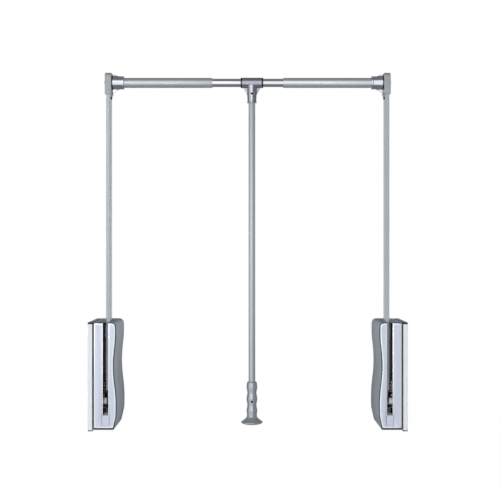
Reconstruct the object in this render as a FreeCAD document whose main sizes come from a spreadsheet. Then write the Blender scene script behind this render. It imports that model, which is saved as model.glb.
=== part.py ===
"""Pull down closet rod: two wall housings, two swinging arms, a telescoping rod and a hanging handle."""

import FreeCAD, Part

import math
import os
import re

import Sketcher

# Driving dimensions: lengths in millimetres, angles in degrees, counts and shares as plain numbers.
# The frame: X runs from the left wall to the right wall, Y away from the front, Z up.
# The origin is midway between the walls, at mid depth, level with the foot of the wall bases.
DIMENSIONS = {
    # Whole object
    "half_width": 375.0,
    "rod_z": 826.7,
    "swing_range": 100.0,
    # Fits
    "press_gap": 0.05,
    "running_gap": 0.08,
    "slide_gap": 0.3,
    "rest_gap": 0.4,
    "cut_overrun": 1.0,
    # Wall base
    "base_thickness": 10.5,
    "base_floor": 4.0,
    "base_rim": 6.0,
    "base_corner": 4.5,
    "shadow_gap": 2.8,
    "plinth_overlap": 6.2,
    "post_radius": 2.5,
    "post_height": 8.0,
    "wall_hole_radius": 2.75,
    "wall_hole_inset_y": 33.0,
    "wall_hole_inset_z": 31.75,
    # Cover: swells are measured from the waist, rises from the cover's bottom, drops from its top
    "cover_wall": 2.5,
    "cover_front_wall": 4.5,
    "cover_fit": 0.2,
    "cover_bottom": 4.0,
    "cover_edge": 1.6,
    "rear_room": 10.5,
    "waist_room": 6.8,
    "foot_draw": 1.3,
    "knee_swell": 5.6,
    "knee_rise": 30.0,
    "lower_bulge_swell": 6.1,
    "lower_bulge_rise": 67.0,
    "lower_turn_swell": 3.2,
    "lower_turn_rise": 104.0,
    "upper_turn_swell": 2.6,
    "upper_turn_drop": 60.5,
    "upper_bulge_swell": 5.0,
    "upper_bulge_drop": 27.5,
    "shoulder_swell": 4.6,
    "shoulder_radius": 11.0,
    "column_half": 4.5,
    "column_length": 12.0,
    # Slot, fascia and stops
    "slot_gap": 1.0,
    "slot_end_gap": 1.5,
    "slot_sill": 9.4,
    "rim_width": 2.4,
    "rim_side": 0.8,
    "rim_top": 1.8,
    "fascia_recess": 2.0,
    "fascia_thickness": 1.6,
    "fascia_edge": 1.2,
    "bumper_overlap": 2.2,
    "bumper_stem_depth": 15.0,
    "bumper_edge": 1.5,
    "stop_pad_depth": 8.0,
    "stop_pad_height": 15.0,
    "stop_rib_thickness": 3.0,
    # Arm
    "arm_from_wall": 42.0,
    "arm_setback": 52.0,
    "arm_width": 10.0,
    "arm_depth": 30.0,
    "arm_wall": 1.2,
    "arm_corner": 3.5,
    "arm_start": 28.0,
    "tang_gap": 0.1,
    "tang_corner": 2.0,
    "foot_tang_length": 45.0,
    "rivet_radius": 2.5,
    "rivet_low_rise": 15.0,
    "rivet_spacing": 18.0,
    # Pivot
    "pivot_radius": 5.0,
    "pivot_head_margin": 2.0,
    "pivot_head_height": 2.0,
    "bush_wall": 3.0,
    # Gear sector and rack
    "tooth_module": 2.5,
    "sector_full_teeth": 16.0,
    "sector_teeth_above": 1.0,
    "sector_teeth_below": 5.0,
    "pressure_angle": 25.0,
    "addendum_share": 0.9,
    "dedendum_share": 1.15,
    "backlash": 0.5,
    "rack_teeth_above": 2.0,
    "rack_teeth_below": 6.0,
    "rack_back": 6.0,
    "rack_room": 9.0761,
    # Mechanism frame: reaches and rises are measured from the pivot
    "frame_gauge": 2.0,
    "frame_far_reach": 13.0,
    "frame_front_reach": 15.0,
    "frame_below": 18.0,
    "frame_nose_rise": 25.0,
    "frame_neck_rise": 62.0,
    "frame_neck_reach": 28.0,
    "frame_rise": 140.0,
    "frame_top_drop": 52.5,
    "frame_screw_radius": 2.0,
    "frame_screw_head_margin": 1.5,
    "frame_screw_head_height": 2.2,
    "frame_screw_bite": 3.0,
    "frame_screw_inset": 17.0,
    # Spring, damper and rack shelf
    "strut_side": 14.0,
    "strut_room": 3.125,
    "shelf_rise": 2.0,
    "shelf_height": 22.0,
    "shelf_overhang": 11.5,
    "tongue_width": 12.0,
    "tongue_reach": 5.5,
    "guide_base": 3.0,
    "guide_rib": 3.7,
    "guide_below": 27.0,
    "guide_height": 76.0,
    "wire_diameter": 2.6,
    "spring_mean_radius": 9.7,
    "spring_turns": 7.0,
    "spring_length": 64.0,
    "spring_bend_radius": 3.0,
    "collar_overhang": 0.5,
    "collar_height": 3.0,
    "spring_room": 1.4,
    "damper_wall": 1.5,
    "damper_rise": 43.0,
    "damper_end_wall": 4.0,
    "damper_neck_radius": 4.0,
    "damper_head_margin": 1.5,
    "damper_head_height": 2.0,
    "damper_rod_radius": 3.0,
    "piston_height": 6.0,
    "piston_rise": 26.0,
    # Corner connector: drops are measured from the rod's axis
    "head_drop": 29.7,
    "head_cheek": 3.0,
    "head_margin": 3.0,
    "head_edge": 2.5,
    "head_tang_length": 28.0,
    "barrel_wall": 3.5,
    "barrel_taper": 1.0,
    "barrel_length": 29.0,
    "barrel_bite": 4.0,
    "tube_seat": 5.0,
    "gusset_thickness": 5.0,
    "gusset_run": 25.0,
    "gusset_rise": 1.5,
    "gusset_sag": 4.0,
    "ridge_run": 18.0,
    "ridge_drop": 3.0,
    "corner_screw_radius": 2.0,
    "rod_screw_head_margin": 4.0,
    "rod_screw_head_height": 1.7,
    "rod_screw_length": 34.0,
    "arm_screw_drop": 6.5,
    "arm_screw_head_margin": 1.5,
    "arm_screw_head_height": 2.8,
    "arm_screw_bite": 5.0,
    # Telescoping rod
    "outer_tube_radius": 12.0,
    "outer_tube_wall": 1.0,
    "outer_tube_end": 85.0,
    "glide_wall": 0.87,
    "glide_length": 25.0,
    "inner_tube_wall": 1.0,
    "inner_tube_half": 175.0,
    "plug_length": 20.0,
    # Tee and handle
    "handle_x": 10.0,
    "tee_half_length": 27.0,
    "tee_wall": 1.3,
    "tee_flange": 3.0,
    "tee_flange_step": 0.3,
    "tee_sleeve_wall": 1.07,
    "tee_sleeve_length": 12.0,
    "socket_length": 34.0,
    "socket_wall": 2.8,
    "socket_taper": 1.0,
    "socket_lip": 0.6,
    "socket_lip_height": 3.5,
    "handle_seat_gap": 3.5,
    "web_thickness": 5.0,
    "web_reach": 21.0,
    "web_rise": 20.0,
    "tee_screw_rise": 21.4,
    "tee_screw_sink": 0.4,
    "screw_head_radius": 2.7,
    "screw_head_height": 1.2,
    "screw_recess_gap": 0.2,
    "screw_radius": 1.6,
    "screw_length": 5.0,
    "handle_radius": 8.0,
    "handle_wall": 1.0,
    # Grip: heights are measured from the grip's bottom
    "grip_bottom": 7.0,
    "grip_length": 103.0,
    "grip_bore_floor": 25.0,
    "grip_mouth_wall": 1.8,
    "grip_wall": 4.1,
    "grip_shoulder_drop": 5.5,
    "grip_wave_swell": 1.0,
    "grip_wave_count": 3.0,
    "grip_neck_length": 6.5,
    "grip_neck_height": 18.5,
    "grip_flare_reach": 13.3,
    "grip_flare_height": 6.6,
    "grip_flare_mid_reach": 4.1,
    "grip_flare_mid_height": 13.0,
    "grip_rim_swell": 0.6,
    "grip_base_inset": 3.4,
    "grip_base_height": 1.4,
    "grip_screw_height": 56.0,
    "grip_screw_sink": 0.7,
}

# Places and widths that follow from the sizes above, each with its formula

PLACES = {
    # Depths, from the pivot towards the back
    "pitch_radius": "tooth_module * sector_full_teeth / 2",
    "rack_root_reach": "pitch_radius + tooth_module * dedendum_share",
    "spring_radius": "spring_mean_radius + wire_diameter / 2",
    "strut_reach": "rack_root_reach + rack_back + spring_radius + strut_room",
    "guide_floor_reach": "strut_reach + shelf_overhang + tongue_reach",
    "frame_rear_reach": "guide_floor_reach + guide_base + frame_gauge",
    "housing_depth": "arm_setback + frame_rear_reach + rear_room + cover_wall",
    "arm_y": "arm_setback - housing_depth / 2",
    "strut_y": "arm_y + strut_reach",
    "frame_front_y": "arm_y - frame_front_reach",
    "frame_neck_y": "arm_y + frame_neck_reach",
    "frame_rear_y": "arm_y + frame_rear_reach",
    "frame_screw_y": "frame_rear_y - frame_screw_inset",
    "guide_reach": "tongue_reach - 2 * slide_gap",
    # Heights
    "tooth_pitch": "tooth_module * pi",
    "rack_low": "cover_bottom + cover_wall + rack_room",
    "pivot_z": "rack_low + rack_teeth_below * tooth_pitch + slide_gap",
    "frame_bottom": "pivot_z - frame_below",
    "frame_nose_z": "pivot_z + frame_nose_rise",
    "frame_neck_z": "pivot_z + frame_neck_rise",
    "frame_top": "pivot_z + frame_rise",
    "housing_top": "frame_top + frame_top_drop",
    "shelf_top": "pivot_z + shelf_rise",
    "guide_bottom": "pivot_z - guide_below",
    "damper_bottom": "shelf_top + damper_rise",
    "arm_bottom": "pivot_z + arm_start",
    "arm_top": "rod_z - head_drop",
    "gusset_foot_z": "arm_top + gusset_rise",
    # Cover's wave
    "frame_far_side": "arm_from_wall + frame_far_reach",
    "waist_width": "frame_far_side + waist_room",
    "foot_width": "waist_width - foot_draw",
    "knee_width": "waist_width + knee_swell",
    "lower_bulge_width": "waist_width + lower_bulge_swell",
    "lower_turn_width": "waist_width + lower_turn_swell",
    "upper_turn_width": "waist_width + upper_turn_swell",
    "upper_bulge_width": "waist_width + upper_bulge_swell",
    "shoulder_width": "waist_width + shoulder_swell",
    "knee_z": "cover_bottom + knee_rise",
    "lower_bulge_z": "cover_bottom + lower_bulge_rise",
    "lower_turn_z": "cover_bottom + lower_turn_rise",
    "upper_turn_z": "housing_top - upper_turn_drop",
    "upper_bulge_z": "housing_top - upper_bulge_drop",
    "waist_z": "(lower_turn_z + upper_turn_z) / 2",
    # Slot and fixings of the housing
    "slot_width": "arm_width + 2 * slot_gap",
    "slot_bottom": "cover_bottom + slot_sill",
    "bumper_width": "slot_width + 2 * bumper_overlap",
    "bush_radius": "pivot_radius + bush_wall",
    "pivot_head_radius": "pivot_radius + pivot_head_margin",
    "frame_screw_head_radius": "frame_screw_radius + frame_screw_head_margin",
    # Spring and damper
    "strut_from_wall": "arm_from_wall - strut_side",
    "collar_radius": "spring_radius + collar_overhang",
    "damper_radius": "spring_mean_radius - wire_diameter / 2 - spring_room",
    "damper_bore": "damper_radius - damper_wall",
    "damper_head_radius": "damper_neck_radius + damper_head_margin",
    # Corner connector and rod
    "head_width": "arm_width + 2 * head_cheek",
    "head_side_radius": "arm_depth / 2 + head_margin",
    "head_face_from_wall": "arm_from_wall + head_width / 2",
    "barrel_end_from_wall": "head_face_from_wall + barrel_length",
    "tube_seat_from_wall": "head_face_from_wall + tube_seat",
    "barrel_end_radius": "outer_tube_radius + barrel_wall",
    "barrel_root_radius": "barrel_end_radius + barrel_taper",
    "rod_screw_head_radius": "corner_screw_radius + rod_screw_head_margin",
    "arm_screw_head_radius": "corner_screw_radius + arm_screw_head_margin",
    "outer_bore": "outer_tube_radius - outer_tube_wall",
    "inner_tube_radius": "outer_bore - press_gap - glide_wall - running_gap",
    # Tee and grip
    "tee_bore": "inner_tube_radius + running_gap + tee_sleeve_wall + press_gap",
    "tee_radius": "tee_bore + tee_wall",
    "tee_flange_radius": "tee_radius - tee_flange_step",
    "handle_seat_z": "rod_z - tee_bore - handle_seat_gap",
    "socket_bottom": "handle_seat_z - socket_length",
    "web_foot_z": "socket_bottom + web_rise",
    "tee_screw_z": "socket_bottom + tee_screw_rise",
    "socket_low_radius": "handle_radius + socket_wall",
    "socket_high_radius": "socket_low_radius + socket_taper",
    "socket_lip_radius": "socket_low_radius + socket_lip",
    "tee_screw_seat": "socket_low_radius - tee_screw_sink",
    "screw_recess_radius": "screw_head_radius + screw_recess_gap",
    "handle_bottom": "grip_bottom + grip_bore_floor",
    "grip_top": "grip_bottom + grip_length",
    "grip_neck_z": "grip_bottom + grip_neck_height",
    "grip_wave_run": "grip_top - grip_shoulder_drop - grip_neck_z - grip_neck_length",
    "grip_wave_pitch": "grip_wave_run / (grip_wave_count - 1 / 2)",
    "grip_mouth_radius": "handle_radius + grip_mouth_wall",
    "grip_wave_radius": "handle_radius + grip_wall",
    "grip_flare_radius": "grip_wave_radius + grip_flare_reach",
    "grip_flare_z": "grip_bottom + grip_flare_height",
    "grip_flare_mid_radius": "grip_wave_radius + grip_flare_mid_reach",
    "grip_flare_mid_z": "grip_bottom + grip_flare_mid_height",
    "grip_rim_radius": "grip_flare_radius + grip_rim_swell",
    "grip_base_radius": "grip_flare_radius - grip_base_inset",
    "grip_base_z": "grip_bottom + grip_base_height",
    "grip_screw_z": "grip_bottom + grip_screw_height",
    "grip_screw_seat": "grip_wave_radius - grip_screw_sink",
}

doc = FreeCAD.newDocument("pull_down_closet_rod")
sheet = doc.addObject("Spreadsheet::Sheet", "dims")
for row, (alias, number) in enumerate(DIMENSIONS.items(), start=1):
    sheet.set(f"A{row}", alias)
    sheet.set(f"B{row}", str(number))
    sheet.setAlias(f"B{row}", alias)
doc.recompute()

FUNCTIONS = {"sin", "cos", "tan", "sqrt", "pi"}
parts = {}


# Helpers: a formula is a text of names and signs, such as "arm_width / 2 + running_gap"


def cells(formula):
    """The formula as an expression that names the sheet's cells."""

    def cell(match):
        word = match[0]
        if word in FUNCTIONS:
            return word
        return f"({cells(PLACES[word])})" if word in PLACES else f"dims.{word}"

    return re.sub(r"[a-z]\w*", cell, formula)


def value(formula):
    """The number that a formula gives."""
    return float(sheet.evalExpression(cells(formula)))


def spot(pair):
    """The sketch point that a pair of formulas gives."""
    return FreeCAD.Vector(value(pair[0]), value(pair[1]), 0)


def bind(thing, **formulas):
    """Ties properties of an object to formulas."""
    for name, formula in formulas.items():
        thing.setExpression(name, cells(formula))


def place(thing, x, y, z):
    """Ties an object's position to formulas."""
    for letter, formula in zip("xyz", (x, y, z)):
        thing.setExpression(f".Placement.Base.{letter}", cells(formula))


def keep(label, thing):
    """Names a finished sub-part, which is written to its own file."""
    thing.Label = label
    parts[label] = thing
    return thing


TURNS = {"x": ((0, 1, 0), 90), "-x": ((0, 1, 0), -90), "z": ((0, 0, 1), 0), "-y": ((1, 0, 0), 90)}


def cylinder(name, along, start, radius, length):
    """Round bar from the centre of one end, along an axis."""
    bar = doc.addObject("Part::Cylinder", name)
    axis, angle = TURNS[along]
    bar.Placement = FreeCAD.Placement(FreeCAD.Vector(), FreeCAD.Rotation(FreeCAD.Vector(*axis), angle))
    bind(bar, Radius=radius, Height=length)
    place(bar, *start)
    return bar


def cut(name, base, *tools):
    """One solid less others."""
    rest = base
    for number, tool in enumerate(tools):
        less = doc.addObject("Part::Cut", f"{name}_cut_{number}")
        less.Base = rest
        less.Tool = tool
        rest = less
    return rest


def fuse(name, *pieces):
    """Several solids as one."""
    joined = doc.addObject("Part::MultiFuse", name)
    joined.Shapes = list(pieces)
    joined.Refine = True
    return joined


def group(name, *pieces):
    """Separate solids that share one node."""
    together = doc.addObject("Part::Compound", name)
    together.Links = list(pieces)
    return together


def tube(name, along, start, radius, bore, length):
    """Round tube, open at both ends."""
    outer = cylinder(f"{name}_outer", along, start, radius, length)
    inner = cylinder(f"{name}_inner", along, start, bore, length)
    return cut(name, outer, inner)


def new_body(name):
    """Empty body of sketched features."""
    return doc.addObject("PartDesign::Body", name)


def sketch_on(body, name, role, lift="0", across="0", up="0"):
    """Sketch on one of the body's own planes, lifted along the plane's normal and shifted within it."""
    sketch = body.newObject("Sketcher::SketchObject", name)
    plane = next(feature for feature in body.Origin.OriginFeatures if feature.Role == role)
    sketch.AttachmentSupport = [(plane, "")]
    sketch.MapMode = "FlatFace"
    for letter, formula in zip("xyz", (across, up, lift)):
        sketch.setExpression(f".AttachmentOffset.Base.{letter}", cells(formula))
    return sketch


def pin(sketch, geometry, end, pair):
    """Ties a point of a sketch to a pair of formulas."""
    for kind, formula in zip(("DistanceX", "DistanceY"), pair):
        number = sketch.addConstraint(Sketcher.Constraint(kind, -1, 1, geometry, end, value(formula)))
        sketch.setExpression(f"Constraints[{number}]", cells(formula))


def draw(sketch, corners, arcs=None):
    """Closed outline through corners; arcs gives, by corner number, a point on the arc after it."""
    arcs = arcs or {}
    ends = []
    for number, corner in enumerate(corners):
        start, finish = spot(corner), spot(corners[(number + 1) % len(corners)])
        if number in arcs:
            middle = spot(arcs[number])
            edge = sketch.addGeometry(Part.ArcOfCircle(start, middle, finish))
            forward = (middle - start).cross(finish - middle).z > 0
            ends.append((edge, 1, 2) if forward else (edge, 2, 1))
            mark = sketch.addGeometry(Part.Point(middle), True)
            pin(sketch, mark, 1, arcs[number])
            sketch.addConstraint(Sketcher.Constraint("PointOnObject", mark, 1, edge))
        else:
            edge = sketch.addGeometry(Part.LineSegment(start, finish))
            ends.append((edge, 1, 2))
        pin(sketch, edge, ends[-1][1], corner)
    for (edge, _, last), (following, first, _) in zip(ends, ends[1:] + ends[:1]):
        sketch.addConstraint(Sketcher.Constraint("Coincident", edge, last, following, first))


def draw_box(sketch, low, high):
    """Rectangle from its lowest to its highest corner."""
    draw(sketch, [low, (high[0], low[1]), high, (low[0], high[1])])


def draw_round_box(sketch, centre, half, radius):
    """Rectangle with rounded corners about a centre."""
    side_x, side_y = (f"({half[0]} - {radius})", f"({half[1]} - {radius})")
    bulge = f"{radius} * sqrt(2) / 2"
    corners, arcs = [], {}
    for sign_x, sign_y, first in (("+", "-", "y"), ("+", "+", "x"), ("-", "+", "y"), ("-", "-", "x")):
        flat = (f"{centre[0]} {sign_x} {half[0]}", f"{centre[1]} {sign_y} {side_y}")
        tall = (f"{centre[0]} {sign_x} {side_x}", f"{centre[1]} {sign_y} {half[1]}")
        corners += [tall, flat] if first == "y" else [flat, tall]
        arcs[len(corners) - 2] = (
            f"{centre[0]} {sign_x} ({side_x} + {bulge})",
            f"{centre[1]} {sign_y} ({side_y} + {bulge})",
        )
    draw(sketch, corners, arcs)


def draw_circle(sketch, centre, radius):
    """Full circle about a centre."""
    edge = sketch.addGeometry(Part.Circle(spot(centre), FreeCAD.Vector(0, 0, 1), value(radius)))
    pin(sketch, edge, 3, centre)
    number = sketch.addConstraint(Sketcher.Constraint("Radius", edge, value(radius)))
    sketch.setExpression(f"Constraints[{number}]", cells(radius))


def pad(body, sketch, length, both_ways=False):
    """Material from a sketch along its normal, or half each way."""
    feature = body.newObject("PartDesign::Pad", f"{sketch.Name}_pad")
    feature.Profile = sketch
    bind(feature, Length=length)
    feature.SideType = "Symmetric" if both_ways else "One side"
    return feature


def pocket(body, sketch, length=None, along_normal=False):
    """Cut from a sketch against its normal, or along it, to a depth or right through."""
    feature = body.newObject("PartDesign::Pocket", f"{sketch.Name}_pocket")
    feature.Profile = sketch
    feature.Reversed = along_normal
    if length:
        bind(feature, Length=length)
    else:
        feature.Type = "ThroughAll"
    return feature


def revolve(body, sketch, axis):
    """Material turned about one of the sketch's own axes."""
    feature = body.newObject("PartDesign::Revolution", f"{sketch.Name}_turned")
    feature.Profile = sketch
    feature.ReferenceAxis = (sketch, [axis])
    feature.Angle = 360
    return feature


def dress(body, kind, base, size, by, chosen):
    """Fillet or chamfer of a size on the edges of a feature that a test chooses."""
    doc.recompute()
    names = [f"Edge{n}" for n, edge in enumerate(base.Shape.Edges, start=1) if chosen(edge)]
    feature = body.newObject(f"PartDesign::{kind}", f"{base.Name}_{kind.lower()}")
    feature.Base = (base, names)
    bind(feature, **{size: by})
    return feature


def lies_at(edge, letter, formula):
    """Whether an edge lies in the plane that a formula gives for one axis."""
    low, high = (getattr(edge.BoundBox, f"{letter.upper()}{end}") for end in ("Min", "Max"))
    level, reach = value(formula), value("running_gap")
    return abs(low - level) < reach and abs(high - level) < reach


def runs_along(edge, letter):
    """Whether an edge is a straight line along one axis."""
    spans = [getattr(edge.BoundBox, f"{axis}Length") for axis in "XYZ"]
    return spans["xyz".index(letter)] > sum(spans) - value("press_gap")


# Places on the left side that several pieces share

FRONT = "(-housing_depth / 2)"
REAR = "(housing_depth / 2)"


def from_wall(distance):
    """X of a place at a distance from the left wall."""
    return f"({distance} - half_width)"


ARM_X = from_wall("arm_from_wall")
ARM_Y = "arm_y"
PLINTH = "(base_thickness + shadow_gap + plinth_overlap)"
PLINTH_FRONT = f"({FRONT} + cover_front_wall + cover_fit)"
PLINTH_REAR = f"({REAR} - cover_wall - cover_fit)"
PLINTH_LOW = "(cover_bottom + cover_wall + cover_fit)"
PLINTH_HIGH = "(housing_top - cover_wall - cover_fit)"
POSTS = [
    (f"({side} {sign_y} base_rim / 2)", f"({level} {sign_z} base_rim / 2)")
    for side, sign_y in ((PLINTH_FRONT, "+"), (PLINTH_REAR, "-"))
    for level, sign_z in ((PLINTH_LOW, "+"), (PLINTH_HIGH, "-"))
]
WALL_HOLES = [
    (y, z)
    for y in (f"({FRONT} + wall_hole_inset_y)", f"({REAR} - wall_hole_inset_y)")
    for z in ("wall_hole_inset_z", "(housing_top - wall_hole_inset_z)")
]
FRAME_SCREWS = [
    ("frame_screw_y", "(frame_bottom + frame_screw_inset)"),
    ("frame_screw_y", "(frame_top - frame_screw_inset)"),
    (ARM_Y, "(pivot_z + bush_radius + 2 * frame_screw_head_radius)"),
]
PITCH_LINE = "(arm_y + pitch_radius)"
PLATE = "(arm_width - 2 * arm_wall - 2 * tang_gap)"
RACK_ROOT = "(arm_y + rack_root_reach)"
STRUT_X = from_wall("strut_from_wall")
SHELF_BOTTOM = "(shelf_top - shelf_height)"
COLLAR_Z = "(shelf_top + spring_length)"
GUIDE_FLOOR = "(arm_y + guide_floor_reach)"


# Wall base: a tray with a plinth for the cover, four posts and four wall screw holes


def wall_base():
    body = new_body("left_wall_base")
    plate = sketch_on(body, "base_plate", "YZ_Plane", "-half_width")
    draw_box(plate, (FRONT, "0"), (REAR, "housing_top"))
    slab = pad(body, plate, "base_thickness")
    dress(body, "Fillet", slab, "Radius", "base_corner", lambda edge: runs_along(edge, "x"))
    plinth = sketch_on(body, "base_plinth", "YZ_Plane", from_wall("base_thickness"))
    draw_box(plinth, (PLINTH_FRONT, PLINTH_LOW), (PLINTH_REAR, PLINTH_HIGH))
    pad(body, plinth, "shadow_gap + plinth_overlap")
    tray = sketch_on(body, "base_tray", "YZ_Plane", from_wall(PLINTH))
    draw_box(
        tray,
        (f"{PLINTH_FRONT} + base_rim", f"{PLINTH_LOW} + base_rim"),
        (f"{PLINTH_REAR} - base_rim", f"{PLINTH_HIGH} - base_rim"),
    )
    pocket(body, tray, f"{PLINTH} - base_floor")
    posts = sketch_on(body, "base_posts", "YZ_Plane", from_wall(PLINTH))
    for post in POSTS:
        draw_circle(posts, post, "post_radius")
    pad(body, posts, "post_height")
    holes = sketch_on(body, "base_wall_holes", "YZ_Plane", from_wall("base_floor"))
    for hole in WALL_HOLES:
        draw_circle(holes, hole, "wall_hole_radius")
    pocket(body, holes)
    bites = sketch_on(body, "base_screw_bites", "YZ_Plane", from_wall("base_floor"))
    for screw in FRAME_SCREWS:
        draw_circle(bites, screw, "frame_screw_radius + press_gap")
    pocket(body, bites, "frame_screw_bite + press_gap")
    keep("left_wall_base", body)


# Cover: a shell with a waved side towards the centre, slotted for the arm


def cover_outline(inset, wall_side, top_inset=None):
    """Corners and arcs of the cover's outline, moved inwards by an inset, or by another at the top."""

    def out(width):
        return from_wall(f"({width} - {inset})")

    low, high = f"(cover_bottom + {inset})", f"(housing_top - {top_inset or inset})"
    bend = f"(shoulder_radius - {inset})"
    shoulder, bend_z = "(shoulder_width - shoulder_radius)", f"({high} - {bend})"
    corners = [
        (wall_side, low),
        (out("foot_width"), low),
        (out("knee_width"), "knee_z"),
        (out("lower_turn_width"), "lower_turn_z"),
        (out("upper_turn_width"), "upper_turn_z"),
        (out("shoulder_width"), bend_z),
        (from_wall(shoulder), high),
        (wall_side, high),
    ]
    arcs = {
        2: (out("lower_bulge_width"), "lower_bulge_z"),
        3: (out("waist_width"), "waist_z"),
        4: (out("upper_bulge_width"), "upper_bulge_z"),
        5: (from_wall(f"({shoulder} + {bend} * sqrt(2) / 2)"), f"({bend_z} + {bend} * sqrt(2) / 2)"),
    }
    return corners, arcs


COVER_START = "(base_thickness + shadow_gap)"


def cover():
    body = new_body("left_cover")
    outline = sketch_on(body, "cover_outline", "XZ_Plane")
    draw(outline, *cover_outline("0", from_wall(COVER_START)))
    shell = pad(body, outline, "housing_depth", both_ways=True)

    def is_rim(edge):
        ends = lies_at(edge, "y", FRONT) or lies_at(edge, "y", REAR)
        return ends and not lies_at(edge, "x", from_wall(COVER_START))

    dress(body, "Fillet", shell, "Radius", "cover_edge", is_rim)
    cavity = sketch_on(body, "cover_cavity", "XZ_Plane", f"-({FRONT} + cover_front_wall)")
    draw(cavity, *cover_outline("cover_wall", from_wall(f"({COVER_START} - cut_overrun)")))
    pocket(body, cavity, "housing_depth - cover_front_wall - cover_wall")
    recess = sketch_on(body, "cover_recess", "XZ_Plane", f"-{FRONT}")
    draw(recess, *cover_outline("rim_width", from_wall(f"({COVER_START} + rim_side)"), "rim_top"))
    pocket(body, recess, "fascia_recess")
    columns = sketch_on(body, "cover_columns", "YZ_Plane", from_wall(PLINTH))
    for y, z in POSTS:
        low = (f"{y} - column_half", f"{z} - column_half")
        draw_box(columns, low, (f"{y} + column_half", f"{z} + column_half"))
    pad(body, columns, "column_length")
    sockets = sketch_on(body, "cover_sockets", "YZ_Plane", from_wall(PLINTH))
    for post in POSTS:
        draw_circle(sockets, post, "post_radius + press_gap")
    pocket(body, sockets, "post_height + slide_gap", along_normal=True)
    back = f"({ARM_Y} + arm_depth / 2 + rest_gap + stop_pad_depth)"
    rib = sketch_on(body, "cover_stop_rib", "XZ_Plane", f"-{back}")
    draw_box(
        rib,
        (f"{ARM_X} - slot_width", "housing_top - cover_wall - stop_pad_height"),
        (f"{ARM_X} + slot_width", "housing_top - cover_wall / 2"),
    )
    doc.recompute()
    backing = pad(body, rib, "stop_rib_thickness")
    backing.Reversed = True
    slot = sketch_on(body, "cover_slot", "XZ_Plane", f"-({FRONT} - cut_overrun)")
    left, right = f"{ARM_X} - slot_width / 2", f"{ARM_X} + slot_width / 2"
    draw_box(slot, (left, "slot_bottom"), (right, "housing_top + cut_overrun"))
    pocket(body, slot, "cover_front_wall + 2 * cut_overrun")
    gate = sketch_on(body, "cover_gate", "XZ_Plane", f"-({FRONT} - cut_overrun)")
    draw_box(gate, (left, "housing_top - cover_wall - cut_overrun"), (right, "housing_top + cut_overrun"))
    pocket(body, gate, "cut_overrun + arm_setback + arm_depth / 2 + slot_end_gap")
    keep("left_cover", body)


def front_fascia():
    body = new_body("left_front_fascia")
    floor = f"({FRONT} + fascia_recess)"
    outline = sketch_on(body, "fascia_outline", "XZ_Plane", f"-{floor}")
    wall_side = from_wall(f"({COVER_START} + rim_side + cover_fit)")
    draw(outline, *cover_outline("(rim_width + cover_fit)", wall_side, "(rim_top + cover_fit)"))
    panel = pad(body, outline, "fascia_thickness")
    face = f"({floor} - fascia_thickness)"
    dress(body, "Chamfer", panel, "Size", "fascia_edge", lambda edge: lies_at(edge, "y", face))
    slot = sketch_on(body, "fascia_slot", "XZ_Plane", f"-{FRONT}")
    draw_box(
        slot,
        (f"{ARM_X} - slot_width / 2", "slot_bottom"),
        (f"{ARM_X} + slot_width / 2", "housing_top + cut_overrun"),
    )
    pocket(body, slot)
    seat = sketch_on(body, "fascia_bumper_seat", "XZ_Plane", f"-{FRONT}")
    half = "(bumper_width / 2 + cover_fit)"
    draw_box(
        seat,
        (f"{ARM_X} - {half}", "slot_bottom - cover_fit"),
        (f"{ARM_X} + {half}", f"{lowered_arm(FRONT)} - rest_gap + cover_fit"),
    )
    pocket(body, seat)
    keep("left_front_fascia", body)


# Stops: the bumper that the lowered arm rests on, and the pad behind the upright arm


def lowered_arm(y):
    """Height of the lowered arm's underside at a given depth."""
    run = f"({ARM_Y} - ({y}))"
    return f"(pivot_z + {run} / tan(swing_range) - arm_depth / 2 / sin(swing_range))"


def bumper():
    body = new_body("left_bumper")
    floor = f"({FRONT} + fascia_recess)"
    inner = f"({floor} + bumper_stem_depth)"
    flange = sketch_on(body, "bumper_flange", "YZ_Plane", ARM_X)
    draw(
        flange,
        [
            (FRONT, "slot_bottom"),
            (floor, "slot_bottom"),
            (floor, f"{lowered_arm(FRONT)} - rest_gap"),
            (FRONT, f"{lowered_arm(FRONT)} - rest_gap"),
        ],
    )
    face = pad(body, flange, "bumper_width", both_ways=True)
    dress(
        body,
        "Fillet",
        face,
        "Radius",
        "bumper_edge",
        lambda edge: lies_at(edge, "y", FRONT) and lies_at(edge, "z", f"{lowered_arm(FRONT)} - rest_gap"),
    )
    stem = sketch_on(body, "bumper_stem", "YZ_Plane", ARM_X)
    draw(
        stem,
        [
            (f"{floor} - bumper_edge / 3", "slot_bottom + cover_fit"),
            (inner, "slot_bottom + cover_fit"),
            (inner, f"{lowered_arm(inner)} - rest_gap"),
            (f"{floor} - bumper_edge / 3", f"{lowered_arm(FRONT)} - rest_gap"),
        ],
    )
    pad(body, stem, "slot_width - 2 * cover_fit", both_ways=True)
    keep("left_bumper", body)


def stop_pad():
    body = new_body("left_stop_pad")
    front = f"({ARM_Y} + arm_depth / 2 + rest_gap)"
    rear = f"({front} + stop_pad_depth)"
    low, high = "(housing_top - cover_wall - stop_pad_height)", "(housing_top - cover_wall)"
    edge = f"({front} + stop_pad_depth / 3)"
    profile = sketch_on(body, "stop_pad_profile", "YZ_Plane", ARM_X)
    draw(
        profile,
        [(edge, low), (rear, low), (rear, high), (edge, high)],
        {3: (front, f"{high} - stop_pad_height / 2")},
    )
    pad(body, profile, "arm_width", both_ways=True)
    keep("left_stop_pad", body)


# Mechanism frame: a folded steel channel that carries the pivot and the damper


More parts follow.
